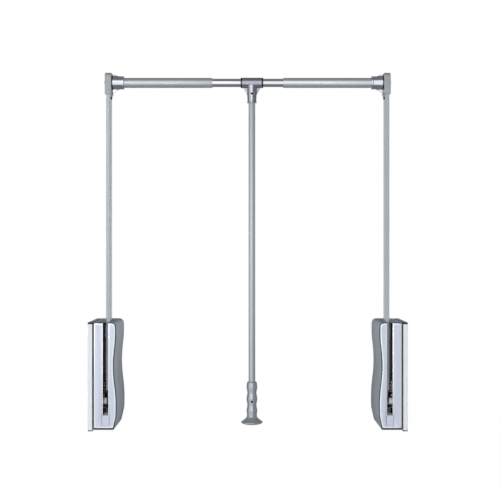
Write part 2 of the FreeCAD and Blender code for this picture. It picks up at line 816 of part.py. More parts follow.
def mechanism_frame():
    body = new_body("left_mechanism_frame")
    near, far = from_wall("base_floor"), from_wall("frame_far_side")
    inner_near, inner_far = f"({near} + frame_gauge)", f"({far} - frame_gauge)"
    channel = sketch_on(body, "frame_channel", "XY_Plane", "frame_bottom")
    draw(
        channel,
        [
            (near, "frame_front_y"),
            (inner_near, "frame_front_y"),
            (inner_near, "frame_rear_y - frame_gauge"),
            (inner_far, "frame_rear_y - frame_gauge"),
            (inner_far, "frame_front_y"),
            (far, "frame_front_y"),
            (far, "frame_rear_y"),
            (near, "frame_rear_y"),
        ],
    )
    pad(body, channel, "frame_top - frame_bottom")
    relief = sketch_on(body, "frame_relief", "YZ_Plane")
    draw(
        relief,
        [
            ("frame_front_y - cut_overrun", "frame_nose_z"),
            ("frame_front_y", "frame_nose_z"),
            ("frame_neck_y", "frame_neck_z"),
            ("frame_neck_y", "frame_top + cut_overrun"),
            ("frame_front_y - cut_overrun", "frame_top + cut_overrun"),
        ],
    )
    pocket(body, relief)
    tab = sketch_on(body, "frame_tab", "XY_Plane", "frame_top - frame_gauge")
    draw_box(tab, (near, "frame_neck_y"), (far, "frame_rear_y"))
    pad(body, tab, "frame_gauge")
    eye = sketch_on(body, "frame_eye", "XY_Plane", "frame_top + cut_overrun")
    draw_circle(eye, (STRUT_X, "strut_y"), "damper_neck_radius + press_gap")
    pocket(body, eye, "frame_gauge + 2 * cut_overrun")
    pivot = sketch_on(body, "frame_pivot_holes", "YZ_Plane")
    draw_circle(pivot, (ARM_Y, "pivot_z"), "pivot_radius + press_gap")
    pocket(body, pivot)
    holes = sketch_on(body, "frame_screw_holes", "YZ_Plane", from_wall("frame_far_side / 2"))
    for screw in FRAME_SCREWS:
        draw_circle(holes, screw, "frame_screw_radius + press_gap")
    pocket(body, holes)
    keep("left_mechanism_frame", body)


def frame_screws():
    seat = from_wall("(base_floor + frame_gauge)")
    screws = []
    for number, (y, z) in enumerate(FRAME_SCREWS):
        shank = cylinder(
            f"frame_screw_shank_{number}",
            "-x",
            (f"{seat} + frame_screw_head_height / 2", y, z),
            "frame_screw_radius",
            "frame_gauge + frame_screw_bite + frame_screw_head_height / 2",
        )
        head = cylinder(
            f"frame_screw_head_{number}",
            "x",
            (seat, y, z),
            "frame_screw_head_radius",
            "frame_screw_head_height",
        )
        screws.append(fuse(f"frame_screw_{number}", shank, head))
    keep("left_frame_screws", group("frame_screw_group", *screws))


# Pivot: a headed pin through the frame, with a spacer bush on each side of the arm's foot

FOOT_NEAR = f"({ARM_X} - {PLATE} / 2)"
FOOT_FAR = f"({ARM_X} + {PLATE} / 2)"


def pivot_pin():
    far = from_wall("frame_far_side")
    shank = cylinder(
        "pivot_shank",
        "x",
        (from_wall("base_floor"), ARM_Y, "pivot_z"),
        "pivot_radius",
        "frame_far_side - base_floor + pivot_head_height",
    )
    head = cylinder("pivot_head", "x", (far, ARM_Y, "pivot_z"), "pivot_head_radius", "pivot_head_height")
    keep("left_pivot_pin", fuse("pivot_pin_whole", shank, head))


def pivot_bushes():
    near = from_wall("(base_floor + frame_gauge)")
    far = f"({FOOT_FAR} + slide_gap)"
    bore = "pivot_radius + press_gap"
    length = f"{FOOT_NEAR} - slide_gap - {near}"
    long_bush = tube("long_bush", "x", (near, ARM_Y, "pivot_z"), "bush_radius", bore, length)
    length = f"{from_wall('(frame_far_side - frame_gauge)')} - {far}"
    short_bush = tube("short_bush", "x", (far, ARM_Y, "pivot_z"), "bush_radius", bore, length)
    keep("left_pivot_bushes", group("pivot_bush_group", long_bush, short_bush))


# Arm foot: a plate with a tang inside the arm tube and a gear sector about the pivot


def tooth_face(number):
    """Involute tooth of the sector, as a face in the plane of the wheel about its centre."""
    pitch, module = value("pitch_radius"), value("tooth_module")
    pressure = math.radians(value("pressure_angle"))
    base = pitch * math.cos(pressure)
    tip = pitch + module * value("addendum_share")
    root = pitch - module * value("dedendum_share")
    inside = root - module / 2
    thickness = (math.pi * module - value("backlash")) / 2
    half_pitch = thickness / (2 * pitch) + math.tan(pressure) - pressure
    aim = 2 * math.pi * number / value("sector_full_teeth")

    def at(radius, side):
        angle = math.acos(min(base / radius, 1))
        turn = aim + side * (half_pitch - math.tan(angle) + angle)
        return FreeCAD.Vector(0, radius * math.cos(turn), radius * math.sin(turn))

    steps = 4
    radii = [base + (tip - base) * step / steps for step in range(steps + 1)]
    edges = []
    for side in (-1, 1):
        flank = Part.BSplineCurve()
        flank.interpolate([at(radius, side) for radius in radii])
        edges.append(flank.toShape())
        edges.append(Part.makeLine(at(inside, side), at(base, side)))
    top = FreeCAD.Vector(0, tip * math.cos(aim), tip * math.sin(aim))
    edges.append(Part.Arc(at(tip, -1), top, at(tip, 1)).toShape())
    edges.append(Part.makeLine(at(inside, -1), at(inside, 1)))
    return Part.Face(Part.Wire(Part.__sortEdges__(edges)))


def sector_teeth():
    """All teeth of the sector, as solids as thick as the foot's plate."""
    numbers = range(-round(value("sector_teeth_below")), round(value("sector_teeth_above")) + 1)
    width = FreeCAD.Vector(value(PLATE), 0, 0)
    teeth = doc.addObject("Part::Feature", "sector_teeth")
    teeth.Shape = Part.Compound([tooth_face(number).extrude(width) for number in numbers])
    place(teeth, FOOT_NEAR, ARM_Y, "pivot_z")
    return teeth


TANG_DEPTH = "(arm_depth - 2 * arm_wall - 2 * tang_gap)"


def arm_foot():
    disc = cylinder(
        "foot_disc",
        "x",
        (FOOT_NEAR, ARM_Y, "pivot_z"),
        "pitch_radius - tooth_module * dedendum_share",
        PLATE,
    )
    tang = new_body("foot_tang")
    outline = sketch_on(tang, "foot_tang_outline", "XY_Plane", "pivot_z")
    draw_round_box(outline, (ARM_X, ARM_Y), (f"{PLATE} / 2", f"{TANG_DEPTH} / 2"), "tang_corner")
    pad(tang, outline, "arm_bottom + foot_tang_length - pivot_z")
    whole = fuse("foot_whole", disc, sector_teeth(), tang)
    start = f"({FOOT_NEAR} - cut_overrun)"
    through = f"{PLATE} + 2 * cut_overrun"
    bore = cylinder("foot_bore", "x", (start, ARM_Y, "pivot_z"), "pivot_radius + running_gap", through)
    holes = [
        cylinder(f"foot_rivet_hole_{number}", "x", (start, ARM_Y, z), "rivet_radius + press_gap", through)
        for number, z in enumerate(RIVETS)
    ]
    keep("left_arm_foot", cut("foot", whole, bore, *holes))


# Arm: a flat tube with rounded corners, riveted to its foot

RIVETS = ["(arm_bottom + rivet_low_rise)", "(arm_bottom + rivet_low_rise + rivet_spacing)"]
ARM_SCREW_Z = "(arm_top - arm_screw_drop)"


def arm():
    body = new_body("left_arm")
    outside = sketch_on(body, "arm_outside", "XY_Plane", "arm_bottom")
    draw_round_box(outside, (ARM_X, ARM_Y), ("arm_width / 2", "arm_depth / 2"), "arm_corner")
    pad(body, outside, "arm_top - arm_bottom")
    inside = sketch_on(body, "arm_inside", "XY_Plane", "arm_top")
    draw_round_box(
        inside,
        (ARM_X, ARM_Y),
        ("(arm_width / 2 - arm_wall)", "(arm_depth / 2 - arm_wall)"),
        "(arm_corner - arm_wall)",
    )
    pocket(body, inside)
    rivets = sketch_on(body, "arm_rivet_holes", "YZ_Plane")
    for z in RIVETS:
        draw_circle(rivets, (ARM_Y, z), "rivet_radius + press_gap")
    pocket(body, rivets)
    screw = sketch_on(body, "arm_screw_hole", "YZ_Plane")
    draw_circle(screw, (ARM_Y, ARM_SCREW_Z), "corner_screw_radius + press_gap")
    pocket(body, screw, f"-{ARM_X}")
    keep("left_arm", body)


def arm_rivets():
    side = f"{ARM_X} - arm_width / 2"
    rivets = [
        cylinder(f"arm_rivet_{number}", "x", (side, ARM_Y, z), "rivet_radius", "arm_width")
        for number, z in enumerate(RIVETS)
    ]
    keep("left_arm_rivets", group("arm_rivet_group", *rivets))


# Rack: a toothed bar behind the sector, with the spring's shelf and a guide tongue

RACK_HIGH = "(pivot_z + rack_teeth_above * tooth_pitch + slide_gap)"


def rack():
    body = new_body("left_rack")
    bar = sketch_on(body, "rack_bar", "XY_Plane", "rack_low")
    back = f"({RACK_ROOT} + rack_back)"
    draw_box(bar, (FOOT_NEAR, RACK_ROOT), (FOOT_FAR, back))
    pad(body, bar, f"{RACK_HIGH} - rack_low")
    shelf_rear = "(strut_y + shelf_overhang)"
    shelf = sketch_on(body, "rack_shelf", "XY_Plane", SHELF_BOTTOM)
    shelf_start = (f"{STRUT_X} - shelf_overhang", f"{RACK_ROOT} + rack_back / 2")
    draw_box(shelf, shelf_start, (FOOT_FAR, shelf_rear))
    pad(body, shelf, "shelf_height")
    tongue = sketch_on(body, "rack_tongue", "XY_Plane", SHELF_BOTTOM)
    draw_box(
        tongue,
        (f"{STRUT_X} - tongue_width / 2", f"{shelf_rear} - cut_overrun"),
        (f"{STRUT_X} + tongue_width / 2", f"{GUIDE_FLOOR} - slide_gap"),
    )
    pad(body, tongue, "shelf_height")
    seat = sketch_on(body, "rack_rod_seat", "XY_Plane", "shelf_top")
    draw_circle(seat, (STRUT_X, "strut_y"), "damper_rod_radius + press_gap")
    pocket(body, seat, "shelf_height / 2")
    tooth = sketch_on(body, "rack_tooth", "YZ_Plane", FOOT_NEAR)
    middle = "(pivot_z + tooth_pitch * (rack_teeth_above - 1 / 2))"
    half = "((tooth_pitch - backlash) / 4)"
    tip, root = "(tooth_module * addendum_share)", "(tooth_module * dedendum_share)"
    tip_half = f"({half} - {tip} * tan(pressure_angle))"
    root_half = f"({half} + {root} * tan(pressure_angle))"
    draw(
        tooth,
        [
            (f"{PITCH_LINE} - {tip}", f"{middle} - {tip_half}"),
            (f"{RACK_ROOT}", f"{middle} - {root_half}"),
            (f"{RACK_ROOT} + rack_back / 2", f"{middle} - {root_half}"),
            (f"{RACK_ROOT} + rack_back / 2", f"{middle} + {root_half}"),
            (f"{RACK_ROOT}", f"{middle} + {root_half}"),
            (f"{PITCH_LINE} - {tip}", f"{middle} + {tip_half}"),
        ],
    )
    first = pad(body, tooth, PLATE)
    doc.recompute()
    teeth = body.newObject("PartDesign::LinearPattern", "rack_teeth")
    teeth.Originals = [first]
    z_axis = next(feature for feature in body.Origin.OriginFeatures if feature.Role == "Z_Axis")
    teeth.Direction = (z_axis, [""])
    teeth.Reversed = True
    bind(
        teeth,
        Occurrences="rack_teeth_above + rack_teeth_below",
        Length="tooth_pitch * (rack_teeth_above + rack_teeth_below - 1)",
    )
    body.Tip = teeth
    keep("left_rack", body)


def rack_guide():
    body = new_body("left_rack_guide")
    rear, floor = "(frame_rear_y - frame_gauge)", GUIDE_FLOOR
    near = f"({STRUT_X} - tongue_width / 2 - slide_gap)"
    far = f"({STRUT_X} + tongue_width / 2 + slide_gap)"
    profile = sketch_on(body, "guide_profile", "XY_Plane", "guide_bottom")
    draw(
        profile,
        [
            (f"{near} - guide_rib", rear),
            (f"{near} - guide_rib", f"{floor} - guide_reach"),
            (near, f"{floor} - guide_reach"),
            (near, floor),
            (far, floor),
            (far, f"{floor} - guide_reach"),
            (f"{far} + guide_rib", f"{floor} - guide_reach"),
            (f"{far} + guide_rib", rear),
        ],
    )
    pad(body, profile, "guide_height")
    keep("left_rack_guide", body)


# Damper: a cylinder hung from the frame, with a rod and piston that stand on the rack's shelf


def damper_cylinder():
    top = "(frame_top - frame_gauge)"
    body = new_body("left_damper_cylinder")
    profile = sketch_on(body, "damper_profile", "XZ_Plane", "-strut_y", across=STRUT_X)
    gland = "(damper_rod_radius + running_gap)"
    draw(
        profile,
        [
            (gland, "damper_bottom"),
            ("damper_radius", "damper_bottom"),
            ("damper_radius", COLLAR_Z),
            ("collar_radius", COLLAR_Z),
            ("collar_radius", f"{COLLAR_Z} + collar_height"),
            ("damper_radius", f"{COLLAR_Z} + collar_height"),
            ("damper_radius", top),
            ("damper_neck_radius", top),
            ("damper_neck_radius", "frame_top"),
            ("damper_head_radius", "frame_top"),
            ("damper_head_radius", "frame_top + damper_head_height"),
            ("0", "frame_top + damper_head_height"),
            ("0", f"{top} - damper_end_wall"),
            ("damper_bore", f"{top} - damper_end_wall"),
            ("damper_bore", "damper_bottom + damper_end_wall"),
            (gland, "damper_bottom + damper_end_wall"),
        ],
    )
    revolve(body, profile, "V_Axis")
    keep("left_damper_cylinder", body)


def damper_rod():
    foot = "(shelf_top - shelf_height / 2)"
    piston = "(damper_bottom + piston_rise)"
    length = f"{piston} + piston_height - {foot}"
    stem = cylinder("damper_stem", "z", (STRUT_X, "strut_y", foot), "damper_rod_radius", length)
    middle = (STRUT_X, "strut_y", piston)
    disc = cylinder("damper_piston", "z", middle, "damper_bore - running_gap", "piston_height")
    keep("left_damper_rod", fuse("damper_rod_whole", stem, disc))


# Return spring: one round wire wound about the damper, with its ends bent square to their seats


def arc_between(start, heading, finish, reach):
    """Arc that leaves a point along a heading and ends at another, given its tangent length."""
    corner = start + heading * reach
    middle = (start + finish) * 0.5
    chord = finish - start
    lean = math.acos(max(-1.0, min(1.0, heading.dot(chord) / chord.Length)))
    rise = corner - middle
    rise.normalize()
    return Part.Arc(start, middle + rise * (chord.Length / 2 * math.tan(lean / 2)), finish).toShape()


def biarc(start, leaving, finish, arriving):
    """Two arcs that join two points and take both of their headings."""
    chord, sum_of_headings = finish - start, leaving + arriving
    turn = 2 * (1 - leaving.dot(arriving))
    along = chord.dot(sum_of_headings)
    reach = (math.sqrt(along * along + turn * chord.dot(chord)) - along) / turn
    joint = (start + finish + (leaving - arriving) * reach) * 0.5
    onward = finish - arriving * reach - joint
    onward.normalize()
    return [arc_between(start, leaving, joint, reach), arc_between(joint, onward, finish, reach)]


def spring_path():
    """Wire's centre line: a straight end, a bend, the turns by quarters, a bend and a straight end."""
    radius, turns = value("spring_mean_radius"), value("spring_turns")
    length, wire, bend = value("spring_length"), value("wire_diameter"), value("spring_bend_radius")
    lead = length - 2 * wire - 2 * bend
    rise = lead / (2 * math.pi * turns)
    slope = math.atan2(rise, radius)
    lead -= 2 * bend * (math.cos(slope) - 1)
    rise = lead / (2 * math.pi * turns)
    slope = math.atan2(rise, radius)
    low = wire + bend * math.cos(slope)

    def on_coil(angle):
        return FreeCAD.Vector(radius * math.cos(angle), radius * math.sin(angle), low + rise * angle)

    def heading(angle):
        level = math.cos(slope)
        return FreeCAD.Vector(-level * math.sin(angle), level * math.cos(angle), math.sin(slope))

    def tail(angle, way):
        """Bend and straight end that leave the coil at an angle, downwards or upwards."""
        level = FreeCAD.Vector(-math.sin(angle), math.cos(angle), 0)
        up = FreeCAD.Vector(0, 0, 1)
        centre = on_coil(angle) + (level * math.sin(slope) - up * math.cos(slope)) * (bend * way)

        def bent(share):
            swing = share * (math.pi / 2 - slope)
            return centre + (level * -math.cos(swing) + up * math.sin(swing)) * (bend * way)

        straight = Part.makeLine(bent(0), bent(0) - up * (wire * way))
        return [straight, Part.Arc(bent(0), bent(0.5), bent(1)).toShape()]

    quarter = math.pi / 2
    count = round(4 * turns)
    edges = tail(0, 1)
    for number in range(count):
        near, far = number * quarter, (number + 1) * quarter
        edges += biarc(on_coil(near), heading(near), on_coil(far), heading(far))
    edges += tail(count * quarter, -1)[::-1]
    return Part.Wire(Part.__sortEdges__(edges))


def spring():
    path = spring_path()
    start = path.OrderedVertexes[0].Point
    circle = Part.Wire(Part.makeCircle(value("wire_diameter") / 2, start, FreeCAD.Vector(0, 0, 1)))
    coil = doc.addObject("Part::Feature", "spring_coil")
    coil.Shape = Part.Wire(path).makePipeShell([circle], True, False)
    place(coil, STRUT_X, "strut_y", "shelf_top")
    print("spring: least gap between turns", round(least_gap(path), 3), "mm")
    keep("left_spring", coil)


def least_gap(path):
    """Least gap of the wire to itself, measured on points along it that are a turn or so apart."""
    count = round(path.Length / value("wire_diameter") * 4)
    points = path.discretize(Number=count)
    step = path.Length / (count - 1)
    apart = round(value("spring_mean_radius") * math.pi / step)
    gaps = [
        points[first].distanceToPoint(points[second])
        for first in range(count)
        for second in range(first + apart, min(count, first + 3 * apart))
    ]
    return min(gaps) - value("wire_diameter")


# Corner connector: a head on the arm's end with a barrel for the rod, a gusset and a ridge


def corner_connector():
    body = new_body("left_corner_connector")
    front, rear = f"({ARM_Y} - head_side_radius)", f"({ARM_Y} + head_side_radius)"
    shoulder = "(rod_z + head_side_radius / 3)"
    face = sketch_on(body, "head_outline", "YZ_Plane", ARM_X)
    draw(
        face,
        [(front, "arm_top"), (rear, "arm_top"), (rear, shoulder), (front, shoulder)],
        {2: (ARM_Y, f"{shoulder} + head_side_radius")},
    )
    head = pad(body, face, "head_width", both_ways=True)
    inner = f"({ARM_X} + head_width / 2)"
    outer = f"({ARM_X} - head_width / 2)"
    dress(
        body,
        "Fillet",
        head,
        "Radius",
        "head_edge",
        lambda edge: lies_at(edge, "x", inner) or lies_at(edge, "x", outer),
    )
    end = from_wall("barrel_end_from_wall")
    barrel = sketch_on(body, "barrel_profile", "XZ_Plane", f"-{ARM_Y}", up="rod_z")
    start = f"({inner} - barrel_bite)"
    draw(barrel, [(start, "0"), (end, "0"), (end, "barrel_end_radius"), (start, "barrel_root_radius")])
    revolve(body, barrel, "H_Axis")
    gusset = sketch_on(body, "gusset_outline", "XZ_Plane", f"-{ARM_Y}")
    level = "(rod_z - outer_tube_radius - barrel_bite / 2)"
    draw(
        gusset,
        [
            (start, level),
            (start, "gusset_foot_z"),
            (inner, "gusset_foot_z"),
            (f"{inner} + gusset_run", level),
        ],
        {
            2: (
                f"{inner} + gusset_run / 2 - gusset_sag / 2",
                f"(gusset_foot_z + {level}) / 2 + gusset_sag / 2",
            )
        },
    )
    pad(body, gusset, "gusset_thickness", both_ways=True)
    ridge = sketch_on(body, "ridge_outline", "XZ_Plane", f"-{ARM_Y}")
    peak = f"({shoulder} + head_side_radius - ridge_drop)"
    crest = "(rod_z + barrel_end_radius)"
    draw(
        ridge,
        [
            (start, f"{crest} - barrel_bite / 4"),
            (f"{inner} + ridge_run", f"{crest} - barrel_bite / 4"),
            (f"{inner} + ridge_run", crest),
            (start, peak),
        ],
    )
    pad(body, ridge, "gusset_thickness", both_ways=True)
    tang = sketch_on(body, "head_tang", "XY_Plane", "arm_top - head_tang_length")
    draw_round_box(tang, (ARM_X, ARM_Y), (f"{PLATE} / 2", f"{TANG_DEPTH} / 2"), "tang_corner")
    pad(body, tang, "head_tang_length + barrel_bite / 2")
    bore = sketch_on(body, "barrel_bore", "YZ_Plane", end)
    draw_circle(bore, (ARM_Y, "rod_z"), "outer_tube_radius + press_gap")
    pocket(body, bore, "barrel_end_from_wall - tube_seat_from_wall")
    screw = sketch_on(body, "rod_screw_hole", "YZ_Plane")
    draw_circle(screw, (ARM_Y, "rod_z"), "corner_screw_radius + press_gap")
    pocket(body, screw)
    pilot = sketch_on(body, "arm_screw_pilot", "YZ_Plane")
    draw_circle(pilot, (ARM_Y, ARM_SCREW_Z), "corner_screw_radius + press_gap")
    pocket(body, pilot)
    keep("left_corner_connector", body)


def corner_screws():
    outer = f"({ARM_X} - head_width / 2)"
    rod_head = cylinder(
        "rod_screw_head", "-x", (outer, ARM_Y, "rod_z"), "rod_screw_head_radius", "rod_screw_head_height"
    )
    rod_shank = cylinder(
        "rod_screw_shank",
        "x",
        (f"{outer} - rod_screw_head_height / 2", ARM_Y, "rod_z"),
        "corner_screw_radius",
        "rod_screw_length",
    )
    side = f"({ARM_X} + arm_width / 2)"
    arm_head = cylinder(
        "arm_screw_head", "x", (side, ARM_Y, ARM_SCREW_Z), "arm_screw_head_radius", "arm_screw_head_height"
    )
    arm_shank = cylinder(
        "arm_screw_shank",
        "-x",
        (f"{side} + arm_screw_head_height / 2", ARM_Y, ARM_SCREW_Z),
        "corner_screw_radius",
        "arm_screw_head_height / 2 + arm_screw_bite",
    )
    rod_screw = fuse("rod_screw", rod_head, rod_shank)
    arm_screw = fuse("arm_screw", arm_head, arm_shank)
    keep("left_corner_screws", group("corner_screw_group", rod_screw, arm_screw))


# Telescoping rod: an outer tube on each side with a glide and a plug, and the inner tube

SEAT_X = from_wall("tube_seat_from_wall")


def outer_tube():
    start = (SEAT_X, ARM_Y, "rod_z")
    length = f"-outer_tube_end - {SEAT_X}"
    keep("left_outer_tube", tube("outer_tube", "x", start, "outer_tube_radius", "outer_bore", length))


def rod_plug():
    start = (SEAT_X, ARM_Y, "rod_z")
    bore = "corner_screw_radius + press_gap"
    keep("left_rod_plug", tube("rod_plug", "x", start, "outer_bore - press_gap", bore, "plug_length"))


def tube_glide():
    start = ("-outer_tube_end - glide_length", ARM_Y, "rod_z")
    bore = "inner_tube_radius + running_gap"
    glide = tube("tube_glide", "x", start, "outer_bore - press_gap", bore, "glide_length")
    keep("left_tube_glide", glide)


def inner_tube():
    start = ("-inner_tube_half", ARM_Y, "rod_z")
    bore = "inner_tube_radius - inner_tube_wall"
    whole = tube("rod_inner_tube", "x", start, "inner_tube_radius", bore, "2 * inner_tube_half")
    keep("inner_tube", whole)


# Tee: a barrel that turns on the inner tube, with a webbed socket for the handle


def tee_connector():
    body = new_body("tee_connector")
    half = "(tee_half_length - tee_flange)"
    barrel = sketch_on(body, "tee_barrel", "YZ_Plane", f"handle_x - {half}")
    draw_circle(barrel, (ARM_Y, "rod_z"), "tee_radius")
    pad(body, barrel, f"2 * {half}")
    socket = sketch_on(body, "tee_socket", "XZ_Plane", f"-{ARM_Y}", across="handle_x")
    lip = "(socket_bottom + socket_lip_height)"
    draw(
        socket,
        [
            ("0", "socket_bottom"),
            ("socket_lip_radius", "socket_bottom"),
            ("socket_lip_radius", lip),
            ("socket_low_radius", lip),
            ("socket_high_radius", "rod_z - tee_bore / 2"),
            ("0", "rod_z - tee_bore / 2"),
        ],
    )
    revolve(body, socket, "V_Axis")
    webs = sketch_on(body, "tee_webs", "XZ_Plane", f"-{ARM_Y}", across="handle_x")
    top = "(rod_z - tee_radius + tee_flange / 2)"
    draw(
        webs,
        [
            ("-web_reach", top),
            ("-socket_low_radius + web_thickness / 2", "web_foot_z - web_thickness"),
            ("socket_low_radius - web_thickness / 2", "web_foot_z - web_thickness"),
            ("web_reach", top),
        ],
    )
    pad(body, webs, "web_thickness", both_ways=True)
    bore = sketch_on(body, "tee_bore", "YZ_Plane", f"handle_x + {half}")
    draw_circle(bore, (ARM_Y, "rod_z"), "tee_bore")
    pocket(body, bore)
    seat = sketch_on(body, "tee_handle_seat", "XY_Plane", "handle_seat_z")
    draw_circle(seat, ("handle_x", ARM_Y), "handle_radius + press_gap")
    pocket(body, seat)
    recess = sketch_on(body, "tee_screw_recess", "XZ_Plane", f"-({ARM_Y} - tee_screw_seat)")
    draw_circle(recess, ("handle_x", "tee_screw_z"), "screw_recess_radius")
    pocket(body, recess, "socket_high_radius", along_normal=True)
    hole = sketch_on(body, "tee_screw_hole", "XZ_Plane", f"-{ARM_Y}")
    draw_circle(hole, ("handle_x", "tee_screw_z"), "screw_radius + press_gap")
    pocket(body, hole, along_normal=True)
    keep("tee_connector", body)


def tee_bushes():
    bushes = []
    bore = "inner_tube_radius + running_gap"
    for sign, along in (("+", "-x"), ("-", "x")):
        start = (f"handle_x {sign} tee_half_length", ARM_Y, "rod_z")
        flange = cylinder(f"tee_flange_{along}", along, start, "tee_flange_radius", "tee_flange")
        length = "tee_flange + tee_sleeve_length"
        sleeve = cylinder(f"tee_sleeve_{along}", along, start, "tee_bore - press_gap", length)
        hole = cylinder(f"tee_bush_bore_{along}", along, start, bore, length)
        bushes.append(cut(f"tee_bush_{along}", fuse(f"tee_bush_whole_{along}", flange, sleeve), hole))
    keep("tee_bushes", group("tee_bush_group", *bushes))


def small_screw(label, seat, z):
    """Screw from the front, with its head on a seat at a distance from the handle's axis."""
    start = ("handle_x", f"{ARM_Y} - {seat}", z)
    head = cylinder(f"{label}_head", "-y", start, "screw_head_radius", "screw_head_height")
    tip = ("handle_x", f"{ARM_Y} - {seat} + screw_length", z)
    shank = cylinder(f"{label}_shank", "-y", tip, "screw_radius", "screw_length + screw_head_height / 2")
    keep(label, fuse(f"{label}_whole", head, shank))


def handle_tube():
    start = ("handle_x", ARM_Y, "handle_bottom")
    length = "handle_seat_z - handle_bottom"
    pipe = tube("handle_pipe", "z", start, "handle_radius", "handle_radius - handle_wall", length)
    hole = "screw_radius + press_gap"
    holes = [
        cylinder(f"handle_screw_hole_{z}", "-y", ("handle_x", ARM_Y, z), hole, "tee_radius")
        for z in ("tee_screw_z", "grip_screw_z")
    ]
    keep("handle_tube", cut("handle_tube_drilled", pipe, *holes))


# Grip: a turned form with finger waves and a flared foot


def grip():
    body = new_body("grip")
    profile = sketch_on(body, "grip_profile", "XZ_Plane", f"-{ARM_Y}", across="handle_x")
    bore = "(handle_radius + press_gap)"
    corners = [(bore, "handle_bottom"), (bore, "grip_top"), ("grip_mouth_radius", "grip_top")]
    arcs = {}
    first = "(grip_top - grip_shoulder_drop)"
    for number in range(round(2 * DIMENSIONS["grip_wave_count"]) - 1):
        swell = "+" if number % 2 == 0 else "-"
        arcs[len(corners)] = (
            f"grip_wave_radius {swell} grip_wave_swell",
            f"{first} - grip_wave_pitch * {2 * number + 1} / 4",
        )
        corners.append(("grip_wave_radius", f"{first} - grip_wave_pitch * {number} / 2"))
    corners.append(("grip_wave_radius", f"{first} - grip_wave_pitch * (grip_wave_count - 1 / 2)"))
    arcs[len(corners)] = ("grip_flare_mid_radius", "grip_flare_mid_z")
    corners.append(("grip_wave_radius", "grip_neck_z"))
    arcs[len(corners)] = ("grip_rim_radius", "(grip_flare_z + grip_base_z) / 2")
    corners.append(("grip_flare_radius", "grip_flare_z"))
    corners.append(("grip_base_radius", "grip_base_z"))
    corners += [("0", "grip_bottom"), ("0", "handle_bottom")]
    draw(profile, corners, arcs)
    revolve(body, profile, "V_Axis")
    recess = sketch_on(body, "grip_screw_recess", "XZ_Plane", f"-({ARM_Y} - grip_screw_seat)")
    draw_circle(recess, ("handle_x", "grip_screw_z"), "screw_recess_radius")
    pocket(body, recess, "grip_wave_radius", along_normal=True)
    hole = sketch_on(body, "grip_screw_hole", "XZ_Plane", f"-{ARM_Y}")
    draw_circle(hole, ("handle_x", "grip_screw_z"), "screw_radius + press_gap")
    pocket(body, hole, along_normal=True)
    keep("grip", body)


def mirror_to_right():
    """Right-hand twin of every left-hand sub-part."""
    for label, thing in list(parts.items()):
        twin = doc.addObject("Part::Mirroring", label.replace("left_", "right_") + "_twin")
        twin.Source = thing
        twin.Base = FreeCAD.Vector(0, 0, 0)
        twin.Normal = FreeCAD.Vector(1, 0, 0)
        keep(label.replace("left_", "right_"), twin)


def check():
    """Stops if any object failed or any sub-part has no valid shape."""
    doc.recompute()
    for thing in doc.Objects:
        if "Invalid" in thing.State or "Error" in thing.State:
            raise RuntimeError(f"{thing.Name} failed: {thing.State}")
    for label, thing in parts.items():
        if thing.Shape.isNull() or not thing.Shape.isValid() or not thing.Shape.Solids:
            raise RuntimeError(f"{label} has no valid solid")


def write():
    """Writes each sub-part to its own file."""
    os.makedirs("parts", exist_ok=True)
    for label, thing in parts.items():
        thing.Shape.exportStep(f"parts/{label}.step")


HOUSING = [
    wall_base,
    cover,
    front_fascia,
    bumper,
    stop_pad,
    mechanism_frame,
    frame_screws,
    pivot_pin,
    pivot_bushes,
    rack,
    rack_guide,
    damper_cylinder,
    damper_rod,
    spring,
]
LIFT = [arm_foot, arm, arm_rivets, corner_connector, corner_screws, outer_tube, rod_plug, tube_glide]

for make in HOUSING + LIFT:
    make()
doc.recompute()
mirror_to_right()
for make in [inner_tube, tee_connector, tee_bushes, handle_tube, grip]:
    make()
small_screw("tee_screw", "tee_screw_seat", "tee_screw_z")
small_screw("grip_screw", "grip_screw_seat", "grip_screw_z")
check()
write()
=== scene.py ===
"""Looks of a pull-down closet rod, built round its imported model: metres, +Z up, front towards -Y."""

import logging
import math
from collections.abc import Callable
from dataclasses import dataclass, field
from enum import Enum

import bmesh
import bpy
import numpy as np
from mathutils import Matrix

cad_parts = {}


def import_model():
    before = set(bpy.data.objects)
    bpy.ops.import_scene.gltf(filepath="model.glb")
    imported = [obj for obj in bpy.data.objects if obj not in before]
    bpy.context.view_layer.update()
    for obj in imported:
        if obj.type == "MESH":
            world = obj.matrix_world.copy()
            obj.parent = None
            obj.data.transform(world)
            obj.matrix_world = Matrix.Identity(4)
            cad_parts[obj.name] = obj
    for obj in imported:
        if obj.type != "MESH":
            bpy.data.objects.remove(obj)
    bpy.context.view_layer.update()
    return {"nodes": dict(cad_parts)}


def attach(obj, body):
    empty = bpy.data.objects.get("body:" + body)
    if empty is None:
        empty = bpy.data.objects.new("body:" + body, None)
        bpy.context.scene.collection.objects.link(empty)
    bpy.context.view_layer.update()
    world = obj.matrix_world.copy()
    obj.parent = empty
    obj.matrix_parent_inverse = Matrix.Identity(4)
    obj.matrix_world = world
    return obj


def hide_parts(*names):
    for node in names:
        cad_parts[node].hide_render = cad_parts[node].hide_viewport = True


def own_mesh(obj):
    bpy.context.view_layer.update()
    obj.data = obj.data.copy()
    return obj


Array = np.ndarray
Rgb = tuple[int, int, int]
Point = tuple[float, float]
Place = tuple[float, float, float]
Lay = Callable[[Array, Array], Array]

MM = 0.001
TAU = 2 * math.pi
HAIR = 0.01
MERGE = 0.002
NOISE_LOW, NOISE_HIGH = 0.3, 0.7
GRAIN_DETAIL, BROAD_DETAIL, MOTTLE_DETAIL, CLOUD_DETAIL = 2.0, 4.0, 5.0, 6.0
STRAIGHT, TIGHTEST = 0.02, 0.2
ALL_SMOOTH = 180.0
WHITE = (1.0, 1.0, 1.0, 1.0)
LOG = logging.getLogger("closet_rod")


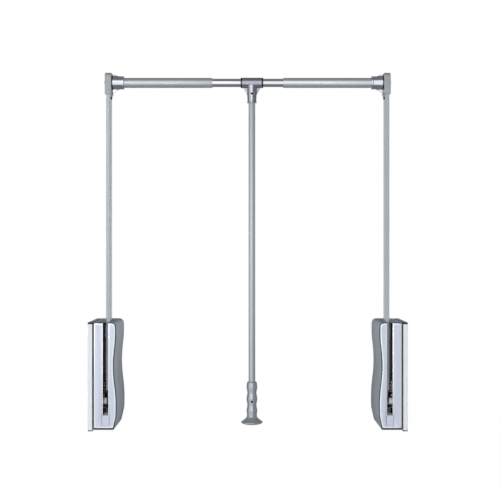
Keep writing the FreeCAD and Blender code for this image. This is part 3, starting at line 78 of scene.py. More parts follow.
class Side(Enum):
    """Which of the two mirrored wall units a piece belongs to."""

    LEFT = "left"
    RIGHT = "right"

    @property
    def sign(self) -> float:
        """Factor on X that carries a left-hand form to this side."""
        return 1.0 if self is Side.LEFT else -1.0

    def name_of(self, piece: str) -> str:
        """Name of a piece on this side."""
        return f"{self.value}_{piece}"


class Axis(Enum):
    """Direction that a turned form is turned about, or that a brushed grain runs along."""

    X = 0
    Y = 1
    Z = 2


# ---------------------------------------------------------------- finishes


def linear(colour: Rgb, gain: float = 1.0) -> tuple[float, float, float, float]:
    """Linear colour of an sRGB one.

    Args:
        colour: Red, green and blue in steps of 255.
        gain: Factor on the linear colour.

    Returns:
        Linear red, green, blue and an alpha of one.
    """
    steps = np.asarray(colour, float) / 255.0
    light = np.where(steps <= 0.04045, steps / 12.92, ((steps + 0.055) / 1.055) ** 2.4)
    return (*np.clip(light * gain, 0.0, 1.0).tolist(), 1.0)


class Graph:
    """Node graph of one material or of the world, with short calls for its nodes and links."""

    def __init__(self, tree: bpy.types.NodeTree) -> None:
        """Starts from an empty tree."""
        self.tree = tree
        tree.nodes.clear()

    def add(
        self, kind: str, values: dict[str | int, object] | None = None, **settings: object
    ) -> bpy.types.Node:
        """Adds a node.

        Args:
            kind: Blender's name of the node type.
            values: Input names or numbers with a constant, or with a socket that is linked to the input.
            settings: Properties of the node itself.

        Returns:
            The node.
        """
        node = self.tree.nodes.new(kind)
        for key, setting in settings.items():
            setattr(node, key, setting)
        for key, value in (values or {}).items():
            if isinstance(value, bpy.types.NodeSocket):
                self.tree.links.new(value, node.inputs[key])
            else:
                node.inputs[key].default_value = value
        return node

    def coords(self) -> bpy.types.NodeSocket:
        """Object coordinates, in metres."""
        return self.add("ShaderNodeTexCoord").outputs["Object"]

    def stretched(self, axis: Axis, share: float) -> bpy.types.NodeSocket:
        """Object coordinates squeezed along an axis, so that a pattern on them is drawn out along it."""
        scale = [1.0, 1.0, 1.0]
        scale[axis.value] = share
        mapping = self.add("ShaderNodeMapping", {"Vector": self.coords(), "Scale": scale})
        return mapping.outputs["Vector"]

    def noise(self, where: bpy.types.NodeSocket, size_mm: float, detail: float = 3.0) -> bpy.types.NodeSocket:
        """Cloudy noise from 0 to 1 with features of a size."""
        scale = 1.0 / (size_mm * MM)
        node = self.add("ShaderNodeTexNoise", {"Vector": where, "Scale": scale, "Detail": detail})
        return node.outputs[0]

    def between(self, amount: bpy.types.NodeSocket, low: float, high: float) -> bpy.types.NodeSocket:
        """Noise carried from the range where most of it lies to another."""
        values = {"Value": amount, "From Min": NOISE_LOW, "From Max": NOISE_HIGH}
        return self.add("ShaderNodeMapRange", values | {"To Min": low, "To Max": high}).outputs["Result"]

    def step(self, amount: bpy.types.NodeSocket, low: float, high: float) -> bpy.types.NodeSocket:
        """Zero below a low level, one above a high one, and smooth between them."""
        values = {"Value": amount, "From Min": low, "From Max": high}
        node = self.add("ShaderNodeMapRange", values, interpolation_type="SMOOTHSTEP")
        return node.outputs["Result"]

    def math(self, operation: str, *terms: bpy.types.NodeSocket | float) -> bpy.types.NodeSocket:
        """Result of one arithmetic step on sockets and numbers."""
        return self.add("ShaderNodeMath", dict(enumerate(terms)), operation=operation).outputs[0]

    def tint(self, amount: bpy.types.NodeSocket, colour: Rgb, spread: float) -> bpy.types.NodeSocket:
        """Colour that noise makes a little darker and lighter."""
        ramp = self.add("ShaderNodeValToRGB", {"Fac": amount})
        low, high = ramp.color_ramp.elements
        low.position, high.position = NOISE_LOW, NOISE_HIGH
        low.color, high.color = linear(colour, 1 - spread), linear(colour, 1 + spread)
        return ramp.outputs["Color"]

    def mix(
        self, share: bpy.types.NodeSocket, first: bpy.types.NodeSocket, second: bpy.types.NodeSocket
    ) -> bpy.types.NodeSocket:
        """Colour between two others."""
        node = self.add("ShaderNodeMix", {0: share, 6: first, 7: second}, data_type="RGBA")
        return node.outputs[2]

    def relief(
        self, height: bpy.types.NodeSocket, depth_mm: float, rounding_mm: float = 0.0
    ) -> bpy.types.NodeSocket:
        """Normal that a height field and rounded edges give.

        Args:
            height: Height from 0 to 1.
            depth_mm: Depth of the relief.
            rounding_mm: Radius by which hard edges look rounded, or zero.

        Returns:
            Normal for a shader.
        """
        values: dict[str | int, object] = {"Height": height, "Strength": 1.0, "Distance": depth_mm * MM}
        if rounding_mm:
            edge = self.add("ShaderNodeBevel", {"Radius": rounding_mm * MM}, samples=6)
            values["Normal"] = edge.outputs["Normal"]
        return self.add("ShaderNodeBump", values).outputs["Normal"]

    def surface(self, values: dict[str | int, object]) -> None:
        """Principled shader on the material's output."""
        shader = self.add("ShaderNodeBsdfPrincipled", values)
        self.add("ShaderNodeOutputMaterial", {"Surface": shader.outputs["BSDF"]})


@dataclass(frozen=True)
class Finish:
    """A named finish with its colour in sRGB steps and its roughness."""

    name: str
    colour: Rgb
    roughness: float

    def material(self) -> bpy.types.Material:
        """The finish's material, made at its first use."""
        found = bpy.data.materials.get(self.name)
        if found:
            return found
        made = bpy.data.materials.new(self.name)
        made.use_nodes = True
        self.dress(Graph(made.node_tree))
        return made

    def dress(self, graph: Graph) -> None:
        """Fills the material's nodes."""
        raise NotImplementedError


@dataclass(frozen=True)
class MouldedPlastic(Finish):
    """Injection moulded plastic: a spark-eroded grain, faint flow mottling and softly rounded edges."""

    grain_mm: float = 0.7
    grain_depth_mm: float = 0.012
    mottle_mm: float = 22.0
    spread: float = 0.05
    gloss: float = 0.5
    rounding_mm: float = 0.0
    scuff: float = 0.06
    scuff_share: float = 0.3

    def paint(self, graph: Graph) -> bpy.types.NodeSocket:
        """Colour with its mottling."""
        flow = graph.noise(graph.coords(), self.mottle_mm, MOTTLE_DETAIL)
        return graph.tint(flow, self.colour, self.spread)

    def dress(self, graph: Graph) -> None:
        """Fills the material's nodes."""
        grain = graph.noise(graph.coords(), self.grain_mm, GRAIN_DETAIL)
        scuffs = graph.noise(graph.coords(), self.mottle_mm * self.scuff_share, CLOUD_DETAIL)
        graph.surface(
            {
                "Base Color": self.paint(graph),
                "Roughness": graph.between(scuffs, self.roughness - self.scuff, self.roughness + self.scuff),
                "Specular IOR Level": self.gloss,
                "Normal": graph.relief(grain, self.grain_depth_mm, self.rounding_mm),
            }
        )


@dataclass(frozen=True)
class BasePlastic(MouldedPlastic):
    """Plastic of the wall base: a pale strip against the wall, with painted shade on the plinth for the
    seam's shadow and on the strip's top and bottom ends.
    """

    # painted shade: dark colour for the shadowed seam on the plinth and the dim top and bottom ends of the
    # strip
    painted_shade: Rgb = (44, 47, 54)
    strip_mm: float = 364.4
    low_mm: float = 2.9
    high_mm: float = 251.6
    strip_fade_mm: float = 0.1
    low_fade_mm: float = 0.3
    high_fade_mm: float = 0.8

    def fade(
        self, graph: Graph, place: bpy.types.NodeSocket, level: float, fade: float
    ) -> bpy.types.NodeSocket:
        """Step at a level that fades over a distance to both sides, downwards where that is negative."""
        return graph.step(place, (level - fade) * MM, (level + fade) * MM)

    def paint(self, graph: Graph) -> bpy.types.NodeSocket:
        """Pale where a point lies on the strip's flat sides; painted shade on the plinth, where the seam's
        shadow falls, and on the top and bottom ends, which get less light.
        """
        flow = graph.noise(graph.coords(), self.mottle_mm, MOTTLE_DETAIL)
        place = graph.add("ShaderNodeSeparateXYZ", {"Vector": graph.coords()})
        out = graph.math("ABSOLUTE", place.outputs["X"])
        strip = self.fade(graph, out, self.strip_mm, self.strip_fade_mm)
        above = self.fade(graph, place.outputs["Z"], self.low_mm, self.low_fade_mm)
        below = self.fade(graph, place.outputs["Z"], self.high_mm, -self.high_fade_mm)
        pale = graph.math("MULTIPLY", strip, graph.math("MULTIPLY", above, below))
        # painted shade on the plinth and at both ends, the pale plastic elsewhere
        painted_shade = graph.tint(flow, self.painted_shade, self.spread)
        return graph.mix(pale, painted_shade, graph.tint(flow, self.colour, self.spread))


@dataclass(frozen=True)
class BrushedMetal(Finish):
    """Metal or metal foil that is brushed one way: long fine streaks in colour, roughness and relief."""

    along: Axis = Axis.Z
    streak_mm: float = 0.8
    stretch: float = 0.012
    spread: float = 0.05
    depth_mm: float = 0.004
    metallic: float = 1.0
    rounding_mm: float = 0.0
    polish: float = 0.07
    broad_stretch: float = 3.0
    broad_streak: float = 9.0

    def dress(self, graph: Graph) -> None:
        """Fills the material's nodes."""
        fine = graph.noise(graph.stretched(self.along, self.stretch), self.streak_mm, CLOUD_DETAIL)
        drawn = graph.stretched(self.along, self.stretch * self.broad_stretch)
        broad = graph.noise(drawn, self.streak_mm * self.broad_streak, BROAD_DETAIL)
        graph.surface(
            {
                "Base Color": graph.tint(broad, self.colour, self.spread),
                "Metallic": self.metallic,
                "Roughness": graph.between(fine, self.roughness - self.polish, self.roughness + self.polish),
                "Normal": graph.relief(fine, self.depth_mm, self.rounding_mm),
            }
        )


@dataclass(frozen=True)
class PlatedMetal(Finish):
    """Plated or polished metal: a slight orange peel, faint handling smudges and a cloudy tint."""

    smudge: float = 0.06
    smudge_mm: float = 18.0
    peel_mm: float = 3.5
    peel_depth_mm: float = 0.004
    spread: float = 0.03
    metallic: float = 1.0
    rounding_mm: float = 0.0

    def dress(self, graph: Graph) -> None:
        """Fills the material's nodes."""
        peel = graph.noise(graph.coords(), self.peel_mm, GRAIN_DETAIL)
        cloud = graph.noise(graph.coords(), self.smudge_mm, CLOUD_DETAIL)
        graph.surface(
            {
                "Base Color": graph.tint(cloud, self.colour, self.spread),
                "Metallic": self.metallic,
                "Roughness": graph.between(cloud, self.roughness, self.roughness + self.smudge),
                "Normal": graph.relief(peel, self.peel_depth_mm, self.rounding_mm),
            }
        )


@dataclass(frozen=True)
class CornerChrome(PlatedMetal):
    """Chrome of the corner casting: polished on its barrel, blasted satin on the head over the arm, with
    painted shade in a narrow band on the barrel's neck beside the head.
    """

    satin: Rgb = (172, 176, 182)
    satin_roughness: float = 0.46
    satin_metallic: float = 0.35
    head_mm: float = 325.0
    # painted shade: dark band on the neck groove where the barrel meets the head
    painted_neck_shade: Rgb = (92, 95, 102)
    painted_neck_shade_mm: float = 1.3
    fade_mm: float = 0.5

    def dress(self, graph: Graph) -> None:
        """Fills the material's nodes."""
        peel = graph.noise(graph.coords(), self.peel_mm, GRAIN_DETAIL)
        cloud = graph.noise(graph.coords(), self.smudge_mm, CLOUD_DETAIL)
        place = graph.add("ShaderNodeSeparateXYZ", {"Vector": graph.coords()}).outputs
        out = graph.math("ABSOLUTE", place["X"])
        head = graph.step(out, (self.head_mm - self.fade_mm) * MM, (self.head_mm + self.fade_mm) * MM)
        # the band just inside the head takes the painted shade colour
        rim = self.head_mm - self.painted_neck_shade_mm
        root = graph.step(out, (rim - self.fade_mm) * MM, (rim + self.fade_mm) * MM)
        polish = graph.between(cloud, self.roughness, self.roughness + self.smudge)
        blasted = graph.math("SUBTRACT", self.satin_roughness, polish)
        tones = (self.colour, self.satin, self.painted_neck_shade)
        bright, dull, neck_shade_tone = (graph.tint(cloud, tone, self.spread) for tone in tones)
        less = self.satin_metallic - self.metallic
        graph.surface(
            {
                "Base Color": graph.mix(head, graph.mix(root, bright, neck_shade_tone), dull),
                "Metallic": graph.math("MULTIPLY_ADD", head, less, self.metallic),
                "Roughness": graph.math("MULTIPLY_ADD", head, blasted, polish),
                "Normal": graph.relief(peel, self.peel_depth_mm, self.rounding_mm),
            }
        )


BASE_PLASTIC = BasePlastic("pale_base_plastic", (238, 241, 246), 0.42, spread=0.02, rounding_mm=0.5)
COVER_PLASTIC = MouldedPlastic("slate_cover_plastic", (180, 188, 196), 0.68, spread=0.04, gloss=0.06)
# painted shade: dark rim colour for the shadowed groove between fascia and cover and along the cover's front
# edge
RIM_PAINTED_SHADE = MouldedPlastic("rim_painted_shade_plastic", (72, 78, 90), 0.42, spread=0.04, gloss=0.35)
FASCIA_FOIL = BrushedMetal("silver_fascia_foil", (214, 220, 236), 0.42, metallic=0.35, spread=0.05)
# painted highlight: near-white bevel colour standing in for the bevel's reflection of the lamps
FASCIA_BEVEL_HIGHLIGHT = PlatedMetal("fascia_bevel_painted_highlight", (250, 251, 255), 0.22, metallic=0.6)
BUMPER_RUBBER = MouldedPlastic("pale_bumper_rubber", (212, 216, 232), 0.62, gloss=0.3, rounding_mm=0.8)
STOP_RUBBER = MouldedPlastic("black_stop_rubber", (30, 30, 32), 0.75, gloss=0.25, rounding_mm=0.6)
ZINC_STEEL = PlatedMetal(
    "zinc_plated_steel", (150, 154, 160), 0.34, smudge=0.18, spread=0.10, rounding_mm=0.5
)
SCREW_STEEL = PlatedMetal("bright_screw_steel", (176, 178, 182), 0.26, smudge=0.1, rounding_mm=0.3)
PIN_STEEL = PlatedMetal("ground_pin_steel", (182, 184, 190), 0.20, rounding_mm=0.4)
WHITE_NYLON = MouldedPlastic("white_nylon", (222, 221, 214), 0.45, rounding_mm=0.4)
DARK_NYLON = MouldedPlastic("black_nylon", (22, 23, 26), 0.36, rounding_mm=0.3)
DAMPER_STEEL = BrushedMetal("damper_steel", (96, 99, 106), 0.36, stretch=0.05, rounding_mm=0.5)
SPRING_STEEL = PlatedMetal("spring_wire_steel", (150, 152, 158), 0.28, peel_mm=1.2, spread=0.08)
RACK_ZINC = PlatedMetal("die_cast_zinc", (136, 139, 145), 0.42, smudge=0.16, spread=0.10, rounding_mm=0.5)
ROD_CHROME = PlatedMetal("damper_rod_chrome", (214, 216, 222), 0.10, rounding_mm=0.3)
ARM_ALUMINIUM = BrushedMetal(
    "satin_arm_aluminium", (178, 182, 190), 0.30, spread=0.05, depth_mm=0.001, metallic=0.3
)
FOOT_STEEL = PlatedMetal("arm_foot_steel", (120, 122, 128), 0.40, smudge=0.16, spread=0.10, rounding_mm=0.4)
RIVET_STEEL = PlatedMetal("rivet_steel", (168, 170, 176), 0.30, rounding_mm=0.3)
CORNER_CHROME = CornerChrome("cast_corner_chrome", (230, 233, 240), 0.06, smudge=0.05, peel_depth_mm=0.006)
CORNER_SCREW = PlatedMetal("dark_corner_screw", (62, 65, 70), 0.36, smudge=0.1)
OUTER_TUBE_STEEL = BrushedMetal(
    "satin_tube_steel", (216, 219, 226), 0.27, along=Axis.X, spread=0.03, depth_mm=0.0006, metallic=0.65
)
INNER_TUBE_CHROME = PlatedMetal("inner_tube_chrome", (226, 228, 236), 0.14, smudge=0.05)
TEE_CHROME = PlatedMetal(
    "dark_tee_chrome", (182, 185, 193), 0.13, smudge=0.10, peel_depth_mm=0.010, metallic=0.88
)
DARK_SCREW = PlatedMetal("black_screw_steel", (40, 41, 46), 0.38, smudge=0.1)
HANDLE_STEEL = BrushedMetal(
    "satin_handle_steel", (198, 202, 209), 0.36, spread=0.03, depth_mm=0.0006, metallic=0.55
)
GRIP_PLASTIC = PlatedMetal(
    "silver_grip_plastic", (180, 186, 194), 0.11, metallic=0.55, smudge=0.07, peel_mm=1.6
)

NODE_FINISHES: dict[str, Finish] = {
    "wall_base": BASE_PLASTIC,
    "bumper": BUMPER_RUBBER,
    "stop_pad": STOP_RUBBER,
    "mechanism_frame": ZINC_STEEL,
    "frame_screws": SCREW_STEEL,
    "pivot_pin": PIN_STEEL,
    "pivot_bushes": WHITE_NYLON,
    "rack_guide": WHITE_NYLON,
    "damper_cylinder": DAMPER_STEEL,
    "damper_rod": ROD_CHROME,
    "rack": RACK_ZINC,
    "arm_foot": FOOT_STEEL,
    "arm_rivets": RIVET_STEEL,
    "rod_plug": WHITE_NYLON,
    "tube_glide": WHITE_NYLON,
}


# ---------------------------------------------------------------- surfaces


def along_x(loop: Array, height: Array) -> Array:
    """Lays a (y, z) loop at a height along X."""
    return np.stack([np.broadcast_to(height, loop[..., 0].shape), loop[..., 0], loop[..., 1]], axis=-1)


def along_y(loop: Array, height: Array) -> Array:
    """Lays an (x, z) loop at a height along Y."""
    return np.stack([loop[..., 0], np.broadcast_to(height, loop[..., 0].shape), loop[..., 1]], axis=-1)


def along_z(loop: Array, height: Array) -> Array:
    """Lays an (x, y) loop at a height along Z."""
    return np.stack([loop[..., 0], loop[..., 1], np.broadcast_to(height, loop[..., 0].shape)], axis=-1)


def arc_through(first: Array, middle: Array, last: Array, steps: int) -> Array:
    """Points on the circle through three points.

    The centre is where the perpendicular bisectors of the two chords meet; the points then lie at equal
    turns about it, from the first point past the middle one to the last.

    Args:
        first: Start of the arc.
        middle: A point that the arc passes.
        last: End of the arc.
        steps: Number of pieces of the arc.

    Returns:
        Array of steps + 1 points.
    """
    first, middle, last = (np.asarray(p, float) for p in (first, middle, last))
    sides = 2 * np.array([middle - first, last - first])
    sums = np.array([middle @ middle - first @ first, last @ last - first @ first])
    centre = np.linalg.solve(sides, sums)
    radius = np.hypot(*(first - centre))
    turns = np.unwrap([math.atan2(*(p - centre)[::-1]) for p in (first, middle, last)])
    turn = np.linspace(turns[0], turns[2], steps + 1)
    return centre + radius * np.stack([np.cos(turn), np.sin(turn)], axis=-1)


def inset(loop: Array, distance: float | Array) -> Array:
    """Closed counter-clockwise loop moved inwards.

    At a bend each point moves to where its two moved edges cross: for unit normals n1 and n2 with
    c = n1 . n2, that is ((d1 - c d2) n1 + (d2 - c d1) n2) / (1 - c c). Where the edges nearly line up it
    moves by (n1 + n2) / (1 + c) times the mean distance.

    Args:
        loop: Points of the loop, in two dimensions.
        distance: How far its edges move inwards, for all of them or one by one.

    Returns:
        The moved loop, point by point.
    """
    ahead = np.roll(loop, -1, axis=0) - loop
    ahead /= np.linalg.norm(ahead, axis=1, keepdims=True)
    normal = np.stack([-ahead[:, 1], ahead[:, 0]], axis=-1)
    before = np.roll(normal, 1, axis=0)
    after_d = np.broadcast_to(distance, loop.shape[:1])[:, None]
    before_d = np.roll(after_d, 1, axis=0)
    c = np.sum(normal * before, axis=1, keepdims=True)
    bend = 1 - c * c
    smooth = (normal + before) / np.maximum(1 + c, TIGHTEST) * (after_d + before_d) / 2
    sharp = (before_d - c * after_d) * before + (after_d - c * before_d) * normal
    return loop + np.where(bend > STRAIGHT, sharp / np.maximum(bend, STRAIGHT), smooth)


def round_box(half_u: float, half_v: float, radius: float, steps: int = 8) -> Array:
    """Rectangle about zero, counter-clockwise: four quarter circles joined by straight sides."""
    turn = np.linspace(0, math.pi / 2, steps + 1)
    quarter = radius * np.stack([np.cos(turn), np.sin(turn)], axis=-1)
    corners = []
    for number, (sign_u, sign_v) in enumerate(((1, 1), (-1, 1), (-1, -1), (1, -1))):
        angle = number * math.pi / 2
        spin = np.array([[math.cos(angle), math.sin(angle)], [-math.sin(angle), math.cos(angle)]])
        corners.append(quarter @ spin + np.array([sign_u * (half_u - radius), sign_v * (half_v - radius)]))
    return np.concatenate(corners)


def slab(middle: float, half: float, ease: float) -> Array:
    """Stations of a plate about a middle plane with eased edges: inset and height of its four rings."""
    low, high = middle - half, middle + half
    return np.array([(ease, low), (0.0, low + ease), (0.0, high - ease), (ease, high)])


def rounding(radius: float, steps: int = 5) -> tuple[Array, Array]:
    """Quarter round at an edge.

    Args:
        radius: Radius of the rounding.
        steps: Number of its pieces.

    Returns:
        Inset from the side and depth below the face, from the face to the side.
    """
    turn = np.linspace(0, math.pi / 2, steps + 1)
    return radius * (1 - np.sin(turn)), radius * (1 - np.cos(turn))


class Form:
    """Surfaces of one piece, gathered as whole arrays in millimetres."""

    def __init__(self) -> None:
        """Starts with no surface."""
        self.points: list[Array] = []
        self.faces: list[list[int]] = []
        self.paints: list[int] = []
        self.count = 0

    def lattice(
        self,
        grid: Array,
        wrap_rows: bool = False,
        wrap_cols: bool = True,
        keep: Array | None = None,
        paint: int = 0,
    ) -> Array:
        """Adds a grid of points with a face between each four neighbours.

        Args:
            grid: Points by row and column.
            wrap_rows: Whether the last row joins the first.
            wrap_cols: Whether the last column joins the first.
            keep: Which faces are made, by row and column, or None for all.
            paint: Number of the piece's finish on these faces.

        Returns:
            Numbers of the points, by row and column.
        """
        rows, cols = grid.shape[:2]
        index = np.arange(rows * cols).reshape(rows, cols) + self.count
        below = np.roll(index, -1, axis=0) if wrap_rows else index[1:]
        above = index if wrap_rows else index[:-1]
        corners = [above, below, np.roll(below, -1, axis=1), np.roll(above, -1, axis=1)]
        faces = np.stack(corners, axis=-1)
        if not wrap_cols:
            faces = faces[:, :-1]
        faces = faces[keep] if keep is not None else faces.reshape(-1, 4)
        self.points.append(grid.reshape(-1, 3))
        self.faces += faces.tolist()
        self.paints += [paint] * len(faces)
        self.count += rows * cols
        return index

    def polygon(self, ring: Array, paint: int = 0) -> None:
        """Adds one flat face on points that are there."""
        self.faces.append(np.asarray(ring).tolist())
        self.paints.append(paint)

    def prism(
        self,
        loop: Array,
        stations: Array,
        lay: Lay,
        paints: tuple[int, ...] = (),
        shares: float | Array = 1.0,
    ) -> None:
        """Adds a closed solid whose section is a loop, moved inwards station by station.

        Args:
            loop: Counter-clockwise section, in two dimensions.
            stations: Inset and height of each ring, from one end to the other.
            lay: How a section and its height become points.
            paints: Number of the finish by band between rings, and last of all for the far end.
            shares: Share of the inset that each edge of the section takes.
        """
        heights = np.asarray(stations, float)
        rings = np.stack([lay(inset(loop, gap * shares), np.float64(height)) for gap, height in heights])
        index = self.lattice(rings)
        if paints:
            self.paints[len(self.paints) - index[:-1].size :] = np.repeat(paints[:-1], loop.shape[0]).tolist()
        self.polygon(index[0])
        self.polygon(index[-1][::-1], paints[-1] if paints else 0)

    def turned(
        self, profile: Array, axis: Axis, centre: Array, closed: bool = False, segments: int = 96
    ) -> None:
        """Adds a profile turned about an axis: (along, radius) becomes along, radius cos a, radius sin a.

        Args:
            profile: Places along the axis with their radii.
            axis: The axis that it is turned about, X or Z.
            centre: The two coordinates of the axis, in the order of their letters.
            closed: Whether the profile is a closed loop, as of a tube; otherwise its ends lie on the axis.
            segments: Number of faces round the axis.
        """
        profile, turn = np.asarray(profile, float), np.linspace(0, TAU, segments, endpoint=False)
        along = np.broadcast_to(profile[:, :1], (len(profile), segments))
        u = centre[0] + profile[:, 1:] * np.cos(turn)
        v = centre[1] + profile[:, 1:] * np.sin(turn)
        grid = np.stack([along, u, v] if axis is Axis.X else [u, v, along], axis=-1)
        self.lattice(grid, wrap_rows=closed)

    def wire(self, path: Array, aside: Array, radius: float, segments: int = 20) -> None:
        """Adds a round wire along a path, with flat ends.

        The section at each point is radius (cos a n + sin a b), where n is the given direction at right
        angles to the path and b is the cross product of the path's own direction with n.

        Args:
            path: Centre line.
            aside: Unit vectors at right angles to the path, one for each point.
            radius: Radius of the wire.
            segments: Number of faces round the wire.
        """
        ahead = np.gradient(path, axis=0)
        ahead /= np.linalg.norm(ahead, axis=1, keepdims=True)
        across = np.cross(ahead, aside)
        turn = np.linspace(0, TAU, segments, endpoint=False)[None, :, None]
        ring = np.cos(turn) * aside[:, None] + np.sin(turn) * across[:, None]
        index = self.lattice(path[:, None] + radius * ring)
        self.polygon(index[0])
        self.polygon(index[-1][::-1])

    def mesh(
        self, name: str, side: Side = Side.LEFT, closed: bool = True, smooth: float = 40.0
    ) -> bpy.types.Mesh:
        """Makes the mesh, in metres.

        Args:
            name: Name of the mesh.
            side: Side that the form is carried to.
            closed: Whether every surface is closed, so that its faces can be turned outwards.
            smooth: Angle in degrees above which an edge stays sharp.

        Returns:
            The mesh.
        """
        points = np.concatenate(self.points) * MM * np.array([side.sign, 1.0, 1.0])
        faces = self.faces if side is Side.LEFT else [face[::-1] for face in self.faces]
        mesh = bpy.data.meshes.new(name)
        mesh.from_pydata(points.tolist(), [], faces)
        mesh.polygons.foreach_set("material_index", np.array(self.paints, np.int32))
        work = bmesh.new()
        work.from_mesh(mesh)
        bmesh.ops.remove_doubles(work, verts=work.verts, dist=MERGE * MM)
        if closed:
            bmesh.ops.recalc_face_normals(work, faces=work.faces)
        work.to_mesh(mesh)
        work.free()
        mesh.shade_smooth()
        mesh.set_sharp_from_angle(angle=math.radians(smooth))
        return mesh


@dataclass(frozen=True)
class Berth:
    """Where a piece belongs: its body, a slot name that nothing here reads, and the nodes that it stands for.
    """

    body: str
    slot: str
    nodes: tuple[str, ...]


def add_piece(mesh: bpy.types.Mesh, finishes: tuple[Finish, ...], berth: Berth) -> bpy.types.Object:
    """Puts a mesh into the scene as a dressed piece of the object.

    Args:
        mesh: The piece's mesh, in place.
        finishes: Its finishes, by number.
        berth: Its body, slot and nodes.

    Returns:
        The piece.
    """
    piece = bpy.data.objects.new(mesh.name, mesh)
    bpy.context.scene.collection.objects.link(piece)
    for finish in finishes:
        mesh.materials.append(finish.material())
    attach(piece, berth.body)
    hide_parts(*berth.nodes)
    LOG.info("piece %s on %s, %d faces", piece.name, berth.body, len(mesh.polygons))
    return piece


def settle(piece: bpy.types.Object, smooth: float = ALL_SMOOTH) -> None:
    """Applies a piece's modifiers to its mesh and sets how sharp its edges look."""
    graph = bpy.context.evaluated_depsgraph_get()
    made = bpy.data.meshes.new_from_object(piece.evaluated_get(graph))
    made.name = f"{piece.name}_settled"
    piece.modifiers.clear()
    piece.data = made
    made.shade_smooth()
    if smooth < ALL_SMOOTH:
        made.set_sharp_from_angle(angle=math.radians(smooth))


def cast(
    piece: bpy.types.Object,
    grain_mm: float,
    rounds: int,
    bores: tuple[bpy.types.Object, ...] = (),
    bored_smooth: float = 45.0,
) -> None:
    """Runs a piece's overlapping forms together as one casting.

    Args:
        piece: Piece whose forms overlap.
        grain_mm: Width of the cells that the common skin is drawn on.
        rounds: How often the skin is smoothed, which fillets its inner corners.
        bores: Objects that are cut out of the casting and then removed.
        bored_smooth: Angle in degrees above which an edge of a bored casting stays sharp.
    """
    skin = piece.modifiers.new("skin", "REMESH")
    skin.mode, skin.voxel_size = "VOXEL", grain_mm * MM
    smooth = piece.modifiers.new("fillets", "SMOOTH")
    smooth.factor, smooth.iterations = 0.5, rounds
    for number, bore in enumerate(bores):
        cut = piece.modifiers.new(f"bore_{number}", "BOOLEAN")
        cut.operation, cut.object, cut.solver = "DIFFERENCE", bore, "EXACT"
    settle(piece, bored_smooth if bores else ALL_SMOOTH)
    for bore in bores:
        bpy.data.objects.remove(bore)


# ---------------------------------------------------------------- wall units


